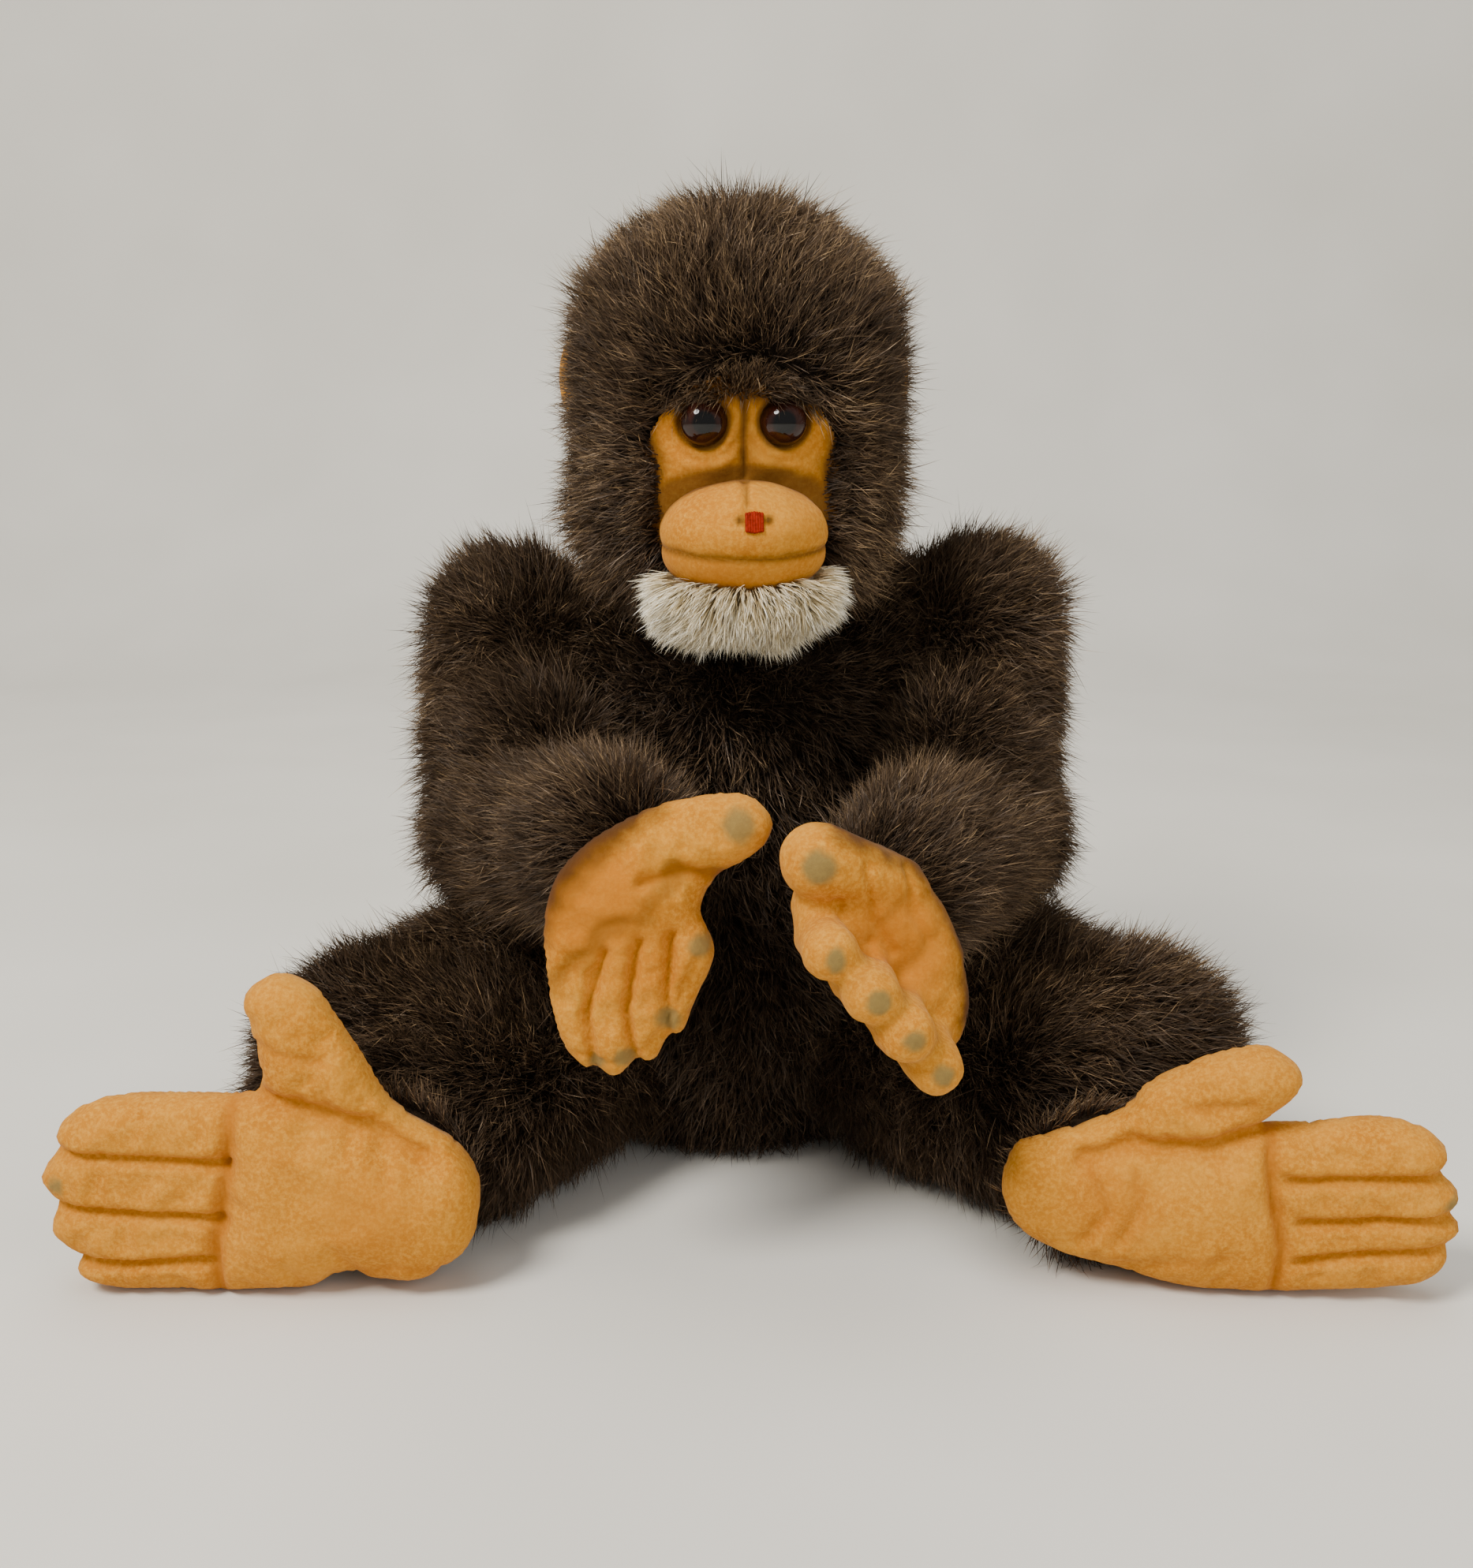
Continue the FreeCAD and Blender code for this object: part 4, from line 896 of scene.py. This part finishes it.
def make_body():
    shapes = [barrel((0, 0, 0), 1.0, 143, 44, 40, 22, 16), egg((0, -8, 46), 42, 44, 40),
              egg((-40, 2, 132), 22, 22, 17), egg((42, 2, 134), 22, 22, 17), egg((0, 4, 20), 50, 44, 19),
              egg((-39, 4, 140), 18, 17, 16), egg((39, 4, 145), 18, 17, 18)]
    skin = fused("body_skin", shapes, 3.0, 6, UNDERCOAT)

    def comb(p, out):
        high = ease(112, 140, p[:, 2])[:, None]
        outward = unit(np.stack([p[:, 0], p[:, 1] * 0.5, np.zeros(len(p))], axis=1))
        upright = np.array([0, 0, -0.9]) * (1 - high) + np.array([0, 0, 0.3]) * high
        return upright + outward * (0.25 + 0.75 * high)

    def keep(p, out):
        under = ease(0.5, 4, p[:, 2])
        hidden = (np.abs(p[:, 0]) < 30) & (p[:, 2] > 138)
        return under * np.where(hidden, 0.3, 1.0)

    def tone_at(p, out):
        # Painted shadow: darker on the front, most of all low down between the arms and legs.
        front = ease(-10, -40, p[:, 1])
        return -0.3 * front - 0.15 * front * ease(70, 30, p[:, 2])

    return skin, layered("body_pile", skin, 34000, 13.0, comb, 201, keep=keep, tone_at=tone_at, width=0.4)


def make_arm(side):
    """One sleeve from shoulder to cuff, shaped with a bend at the elbow."""
    out_x = -1 if side == "right" else 1
    shoulder, elbow, wrist = (JOINT[f"{side}_{k}"] for k in ("arm_spread", "elbow", "wrist"))
    upper, fore = unit(elbow - shoulder), unit(wrist - elbow)
    cuff = wrist + fore * 6
    shapes = [capsule(shoulder + np.array([out_x * 0.5, 0, 1]), elbow, 20, 18),
              capsule(elbow, cuff, 18.5, 15.5),
              egg(shoulder * 0.35 + elbow * 0.45 + wrist * 0.2, 18, 18, 22),
              egg(elbow + np.array([out_x * 2.5, 3, -2]), 18.5, 18, 18)]
    skin = fused(side + "_arm_skin", shapes, 2.0, 16, UNDERCOAT)

    def comb(p, out):
        along = (p - elbow) @ fore
        on_fore = ease(-4, 14, along)[:, None]
        high = ease(-4, 14, p[:, 2] - shoulder[2])[:, None]
        down = np.array([out_x * 0.55, -0.1, -0.8])
        upper_flow = down * (1 - high) + np.array([out_x * 0.7, 0, 0.7]) * high
        fore_flow = np.array([out_x * 0.55, 0.1, 0.25]) - fore * 0.35
        return upper_flow * (1 - on_fore) + fore_flow * on_fore

    def keep(p, out):
        return ease(26, 20, (p - wrist) @ fore)

    def tone_at(p, out):
        # Painted shade on the inner side of the upper arm against the body, and painted light towards the
        # top of the shoulder; darker overall, slightly lighter on the forearm.
        on_fore = ease(0, 20, (p - elbow) @ fore)
        inner_shade = ease(10, -12, (p[:, 0] - elbow[0]) * out_x)
        high = ease(-6, 14, p[:, 2] - shoulder[2])
        return -0.13 + 0.03 * on_fore + 0.1 * high - 0.2 * inner_shade * (1 - on_fore)

    coat = layered(side + "_arm_pile", skin, 34000, 14.5, comb, 401 + out_x, keep=keep, tone_at=tone_at)
    return skin, coat, elbow - upper * 16, elbow + fore * 16


def make_leg(side):
    """Haunch and leg up to the ankle."""
    out_x = -1 if side == "right" else 1
    hip, ankle = JOINT[side + "_leg_lift"], JOINT[side + "_ankle"]
    run = unit(ankle - hip)
    shapes = [capsule(hip, ankle, 26, 29), egg(ankle + np.array([out_x * 15, 6, 3]), 31, 24, 31),
              egg((hip + ankle) / 2 + np.array([out_x * 8, 8, 6]), 31, 26, 33)]
    skin = fused(side + "_leg_skin", shapes, 2.4, 6, UNDERCOAT)

    def comb(p, out):
        high = ease(30, 60, p[:, 2])[:, None]
        outward = np.array([out_x * 0.75, 0.1, -0.25])
        return run * 0.4 + outward * (1 - 0.3 * high) + high * np.array([0, 0, 0.25])

    def keep(p, out):
        flat_front = (p - ankle) @ np.array([0, -1.0, 0])
        return ease(0.6, 3, p[:, 2]) * ease(30, 22, flat_front)

    def tone_at(p, out):
        # Painted shade towards the floor and painted light higher up; darker overall.
        high = ease(35, 62, p[:, 2])
        return -0.14 + 0.1 * high - 0.25 * ease(40, 10, p[:, 2])

    coat = layered(side + "_leg_pile", skin, 32000, 14.5, comb, 501 + out_x, keep=keep, tone_at=tone_at)
    return skin, coat


# Outlines of the sewn pieces, wound round from the wrist or the heel.
HAND_RIGHT = [(-15, -9), (-24, -10), (-34, -9.5), (-40, -7), (-43, -1), (-40, 4), (-34, 7), (-28, 9),
              (-23, 16), (-24, 26), (-17, 37), (-13, 43), (-9.6, 43.5), (-5, 48.5), (-1, 47.5),
              (4, 50.5), (8.5, 47.5), (12, 46), (15, 37), (14.5, 23), (13, 12), (8, 2), (-2, -5)]
PALM_LEFT = [(29, 11), (31, 20), (25, 31), (14, 34), (0, 35), (-14, 34), (-24, 30), (-25, 20),
             (-17, 12), (-6, 6), (8, 3), (20, 5)]


def folded_hand(place):
    """The left hand: its fingers fold forward, so it is melted together from a palm and round digits."""
    palm, _ = sewn("left_palm_part", PALM_LEFT, place, 26.5, 7.6, 7.0, 8.5, seed=41, wrinkle=0.5)
    shapes = [(points(palm.data), triangles(palm.data))]
    bpy.data.objects.remove(palm)
    tips = []
    digits = ((17, 5.9, -2.5), (20, 6.2, -1.0), (19.5, 6.1, 0.5), (16, 5.8, 2.0))
    for k, (reach, size, lean) in enumerate(digits):
        root = np.array([-16.0 + 10.6 * k, 29.0, 27.0])
        tip = root + np.array([lean, 4.5, reach])
        tips.append(tip)
        shapes.append(capsule(place.out(root), place.out(tip), 7.0, size + 0.6))
    thumb_root, thumb_tip = np.array([12.0, 10, 29]), np.array([31.0, 20, 32.5])
    shapes.append(capsule(place.out(thumb_root), place.out(thumb_tip), 7.5, 8.8))
    hand = fused("left_hand_velour", shapes, 1.0, 11, VELOUR)

    def local(p):
        return (p - place.origin) @ place.axes.T

    def rumpled(verts, out):
        q = local(verts)
        creases = [([(24, 14), (14, 20), (4, 22)], 1.3, 1.1), ([(22, 24), (12, 26), (2, 27)], 1.2, 1.1),
                   ([(16, 6), (8, 12), (0, 14)], 1.0, 1.0), ([(10, 24), (4, 31)], 0.8, 1.0)]
        dent = 0.35 * noise(q, 6, 45) + 0.2 * noise(q, 2.6, 46)
        for line, strength, wide in creases:
            gap = line_distance(q[:, :2], np.array(line, float))
            dent -= strength * np.exp(-(gap / wide) ** 2) * (q[:, 2] > 28) * (q[:, 2] < 42)
        return verts + out * dent[:, None]

    shaped(hand, rumpled)
    q = local(points(hand.data))
    ragged = 1.2 * noise(q, 4, 47) + 0.6 * noise(q, 1.6, 48)
    cuff_line = [(33, 9), (20, 2), (8, 0), (-6, 3), (-17, 9), (-27, 20)]
    cuff = line_distance(q[:, :2], cuff_line)
    shade = 0.95 * (1 - ease(2, 9.5, cuff + ragged))
    # Painted shade in the valleys between the digits.
    valley_shade = np.zeros(len(q))
    for a, b in zip(tips, tips[1:]):
        gap = np.abs(q[:, 0] - (a[0] + b[0]) / 2)
        valley_shade = np.maximum(valley_shade, np.exp(-(gap / 1.3) ** 2) * ease(30, 34, q[:, 2]) * 0.2)
    shade = np.maximum(shade, valley_shade)
    pad = np.zeros(len(q))
    rubbed = [(tip + np.array([0, 1.0, 6.0]), 3.6) for tip in tips]
    rubbed.append((thumb_tip + np.array([1, 2, 8.0]), 5.2))
    for tip, size in rubbed:
        gap = np.linalg.norm(q - tip, axis=1) + 0.6 * ragged
        pad = np.maximum(pad, 1 - ease(size * 0.5, size, gap))
    deep = 0.7 * (1 - ease(6, 20, np.hypot(q[:, 0] - 4, q[:, 1] - 20))) * (q[:, 2] < 40)
    return mark(hand, shade=shade, pad=0.8 * pad, deep=deep)


def make_hand(side):
    wrist = JOINT[side + "_wrist"]
    if side == "right":
        place = Place(wrist, (0.2, -0.07, -0.97), (-0.05, -0.98, 0.19))
        stitches = [([(0, 20), (7, 33), (8.5, 48)], 0.45, 1.2), ([(-8, 19), (-2, 34), (-1, 48)], 0.45, 1.2),
                    ([(-15.5, 19), (-11.5, 33), (-9.6, 44)], 0.45, 1.2)]
        palm_line = [(12, 25), (4, 19), (-2, 14), (-10, 13), (-20, 7)]
        folds = [([(-29, 8), (-22, 5), (-12, 6)], 2.2, 1.6), (palm_line, 0.9, 1.8),
                 ([(-20, 25), (-13, 36), (-5, 43.5), (4, 45.5), (11, 42)], 0.9, 0.8),
                 ([(2, 6), (6, 14)], 0.6, 1.2)]
        hand, info = sewn("right_hand_velour", HAND_RIGHT, place, 26.5, 7.6, 7.0, 8.5, stitches, folds,
                          seed=31)
        # The first shade line is the toy's brown airbrush at the cuff; the palm line and the short line by
        # the thumb are painted shade in those folds.
        paint(hand, info, shade_lines=[([(16, 10), (8, 1), (-3, -6), (-14, -11)], 9, 0.95),
                                       (palm_line, 3.5, 0.4),
                                       ([(-29, 8), (-20, 5)], 3.5, 0.45)],
              pads=[((-21, 23), 3.6), ((-11, 38), 3.6), ((1, 45), 3.0), ((7.5, 45), 2.6),
                    ((-35.5, -2.5), 5.0)],
              deep_spots=[((0, 8), 22, 0.7), ((-8, 22), 18, 0.4)], seed=33)
    else:
        place = Place(wrist, (-0.69, -0.32, -0.63), (0.3, -0.93, 0.14))
        hand = folded_hand(place)
    return hand


FOOT_RIGHT = [(-4, -14.5), (-13, -12), (-20.5, -2), (-21.5, 9), (-20, 17), (-23.3, 26), (-23.6, 41),
              (-23.6, 62), (-22.8, 75), (-19, 82), (-14.5, 81), (-8.5, 87), (-0.5, 85.5), (5.5, 88.5),
              (12.6, 84), (18, 83.5),
              (23.5, 75), (25, 58), (25, 42), (28.5, 35.5), (42, 37),
              (50, 38), (54.5, 31), (51, 21.5), (38, 12.5), (23, 4.5), (14, -8), (5, -14)]
FOOT_LEFT = [(0, -16), (-10, -13), (-13, -5), (-20, 11), (-27.5, 18), (-34, 30), (-37.5, 43),
             (-33, 51.5), (-27, 51.5), (-19, 44), (-18.5, 54), (-20.5, 70), (-19, 80.5), (-14, 86.5),
             (-8.7, 85.5), (-3.5, 90), (1.4, 88.5), (5, 91),
             (9, 88.5), (14.5, 88), (19.5, 82), (21.5, 68), (23, 47),
             (23, 27.5), (19.5, 13), (15, -2.5), (9, -12.5)]


def make_foot(side):
    ankle = JOINT[side + "_ankle"]
    level = np.array([ankle[0], ankle[1], 24.0])
    if side == "right":
        place = Place(level, (-1, 0, 0), (0, -1, 0))
        stitches = [([(10.5, 43), (11.6, 60), (12.6, 84)], 0.42, 1.3),
                    ([(-3, 46), (-2.2, 64), (-0.5, 86)], 0.42, 1.3),
                    ([(-13.5, 49), (-14.8, 66), (-14.5, 82)], 0.42, 1.3),
                    ([(27, 36), (25, 26), (20, 10), (12, -3)], 0.5, 2.4)]
        folds = [([(24, 41), (8, 43), (-8, 46), (-23, 47)], 2.2, 1.9), ([(40, 34), (36, 20)], 1.0, 1.4),
                 ([(-18, 14), (-14, 4), (-16, -6)], 1.2, 1.4), ([(14, 30), (4, 22)], 0.5, 2.0)]
        outline, seed = FOOT_RIGHT, 51
        pads = [((5, 83), 2.0)]
    else:
        place = Place(level, (0.995, -0.1, 0), (-0.1, -0.995, 0))
        stitches = [([(-7, 50), (-8.2, 66), (-8.7, 86)], 0.42, 1.3),
                    ([(3.5, 53), (2.0, 70), (1.4, 89)], 0.42, 1.3),
                    ([(13, 53), (10.6, 68), (9, 88)], 0.42, 1.3),
                    ([(-19, 43), (-15, 30), (-14, 14), (-10, 2)], 0.5, 2.4)]
        folds = [([(-18, 45), (-4, 46), (10, 49), (22, 48)], 2.2, 1.9),
                 ([(-8, 4), (2, 8), (8, 4)], 1.3, 1.5), ([(-8, 14), (0, 16), (8, 12)], 1.1, 1.5),
                 ([(-26, 40), (-24, 26)], 1.0, 1.4), ([(14, 20), (12, 34)], 0.9, 1.8)]
        outline, seed = FOOT_LEFT, 61
        pads = [((-2, 87), 2.0)]
    foot, info = sewn(side + "_foot_velour", outline, place, 43.0, 8.4, 8.0, 9.5, stitches, folds,
                      seed=seed, spacing=1.3)
    paint(foot, info, pads=pads, deep_spots=[((0, 10), 16, 0.3)], seed=seed + 2)
    verts, tris = egg((2, 12, 36.5), 20, 24, 6.5)
    top = fused(side + "_instep_skin", [(place.out(verts), tris)], 2.0, 3, UNDERCOAT)

    def comb(p, out):
        return place.y * 0.7 + UP * 0.3 + 0 * p

    coat = pile(side + "_instep_pile", top, 6000, 11.0, comb, BROWN_COAT, 601 + seed,
                keep=lambda p, out: ((p - level) @ place.z < 38).astype(float))
    return foot, top, coat


# ---------------------------------------------------------------- put it together

def soft(obj, body, nodes=()):
    """A filled piece: moved with its body when it has one, and the model's nodes it stands for are hidden.
    """
    if body:
        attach(obj, body)
    if nodes:
        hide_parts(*nodes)


def follow(obj, body, nodes=()):
    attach(obj, body)
    if nodes:
        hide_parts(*nodes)


body_skin, body_coat = make_body()
soft(body_skin, "torso", ["body_cover", "body_stuffing"])
for coat in body_coat:
    follow(coat, "torso")

head_skin, head_coat = make_head()
soft(head_skin, "head", ["head_cover", "head_stuffing"])
for coat in head_coat:
    follow(coat, "head")
face, face_edge = make_face()
follow(face_edge, "head")
soft(face, "head", ["face_panel"])
muzzle, lip, nose = make_muzzle()
soft(muzzle, "head", ["muzzle_cover", "muzzle_stuffing"])
soft(lip, "head", ["lower_lip"])
follow(nose, "head", ["nose"])
beard_skin, beard_coat = make_beard()
soft(beard_skin, "head", ["beard"])
follow(beard_coat, "head")

neck_shape = [egg(NECK + np.array([0, 2, -2]), 20, 20, 15)]
neck_skin = fused("neck_skin", neck_shape, 2.5, 2, UNDERCOAT)
soft(neck_skin, "neck", ["neck_stuffing"])

for side in SIDES:
    follow(make_eye(side), "head", [side + "_eye"])
    soft(make_ear(side), "head", [side + "_ear"])

    arm_skin, arm_coat, bend_start, bend_end = make_arm(side)
    soft(arm_skin, None)
    for piece in (arm_skin, *arm_coat):
        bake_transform(piece)
    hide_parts(*(f"{side}_{k}" for k in ("upper_arm_cover", "upper_arm_stuffing",
                                                    "forearm_cover", "forearm_stuffing")))
    shoulder_shape = egg(JOINT[side + "_arm_spread"], 15, 15, 15)
    shoulder_skin = fused(side + "_shoulder_skin", [shoulder_shape], 2.5, 2, UNDERCOAT)
    soft(shoulder_skin, side + "_shoulder", [side + "_shoulder_stuffing"])
    hand = make_hand(side)
    hand_nodes = ("hand_back", "palm_stuffing", "palm_panel", "fingers", "thumb")
    soft(hand, side + "_hand", [f"{side}_{k}" for k in hand_nodes])

    leg_skin, leg_coat = make_leg(side)
    soft(leg_skin, side + "_leg", [side + "_leg_cover", side + "_leg_stuffing"])
    for coat in leg_coat:
        follow(coat, side + "_leg")
    hip_skin = fused(side + "_hip_skin", [egg(JOINT[side + "_leg_lift"], 19, 19, 19)], 2.5, 2, UNDERCOAT)
    soft(hip_skin, side + "_hip", [side + "_hip_stuffing"])
    foot, instep, instep_coat = make_foot(side)
    foot_nodes = ("foot_stuffing", "sole_panel", "toes", "big_toe")
    soft(foot, side + "_foot", [f"{side}_{k}" for k in foot_nodes])
    soft(instep, side + "_foot", [side + "_foot_top"])
    follow(instep_coat, side + "_foot")

# Hidden pieces that stay as the model has them.
plastic = Shader("washer_plastic", rough=0.5)
plastic.colour(plastic.ramp(plastic.noise(400), (0.3, srgb(205, 203, 196)), (0.7, srgb(228, 226, 220))))
woven = Shader("bag_cloth", rough=0.9)
woven.colour(woven.ramp(woven.noise(900), (0.3, srgb(176, 172, 160)), (0.7, srgb(206, 202, 192))))
for name, shader in (("right_eye_washer", plastic), ("left_eye_washer", plastic), ("pellet_bag", woven)):
    shown = frame["nodes"][name]
    shown.data.materials.clear()
    shown.data.materials.append(shader.material)

# ---------------------------------------------------------------- floor, light and camera

floor_shader = Shader("pale_floor", rough=0.75, specular=0.2)
floor_shader.colour(floor_shader.ramp(floor_shader.noise(6, 2), (0.3, srgb(214, 210, 200)),
                                      (0.7, srgb(222, 218, 209))))
reach, rise, corner = 4.0, 2.5, 0.35
back = 0.75
line = [(-reach, 0)] + [(back + corner * math.sin(t), corner - corner * math.cos(t))
                        for t in np.linspace(0, math.pi / 2, 16)] + [(back + corner, rise)]
verts = [(x, y, z) for y, z in line for x in (-reach, reach)]
mesh = bpy.data.meshes.new("floor")
mesh.from_pydata(verts, [], [(2 * k, 2 * k + 1, 2 * k + 3, 2 * k + 2) for k in range(len(line) - 1)])
mesh.polygons.foreach_set("use_smooth", np.full(len(mesh.polygons), True))
mesh.materials.append(floor_shader.material)
floor = bpy.data.objects.new("floor", mesh)
bpy.context.scene.collection.objects.link(floor)


def lamp(name, place, target, size, power, colour):
    light = bpy.data.lights.new(name, "AREA")
    light.shape = "DISK"
    light.size = size
    light.energy = power
    light.color = colour
    made = bpy.data.objects.new(name, light)
    made.location = place
    made.rotation_euler = (Vector(target) - Vector(place)).to_track_quat("-Z", "Y").to_euler()
    made.visible_glossy = name == "key"
    bpy.context.scene.collection.objects.link(made)
    return made


lamp("key", (-0.75, -0.8, 1.3), (0, 0, 0.1), 0.6, 31, (1.0, 0.97, 0.92))
lamp("fill", (0.9, -1.0, 0.7), (0, 0, 0.12), 1.2, 9, (0.95, 0.97, 1.0))
lamp("top", (0, 0.1, 1.5), (0, 0, 0.1), 1.4, 10, (1.0, 1.0, 1.0))

world = bpy.data.worlds.new("studio")
world.use_nodes = True
world.node_tree.nodes["Background"].inputs["Color"].default_value = (0.82, 0.82, 0.80, 1)
world.node_tree.nodes["Background"].inputs["Strength"].default_value = 0.48
bpy.context.scene.world = world

camera_data = bpy.data.cameras.new("camera")
camera_data.lens = 40.74
camera_data.clip_start = 0.01
camera = bpy.data.objects.new("camera", camera_data)
camera.location = (0, -0.5, 0.214)
camera.rotation_euler = (math.radians(90 - 13), 0, 0)
bpy.context.scene.collection.objects.link(camera)
bpy.context.scene.camera = camera
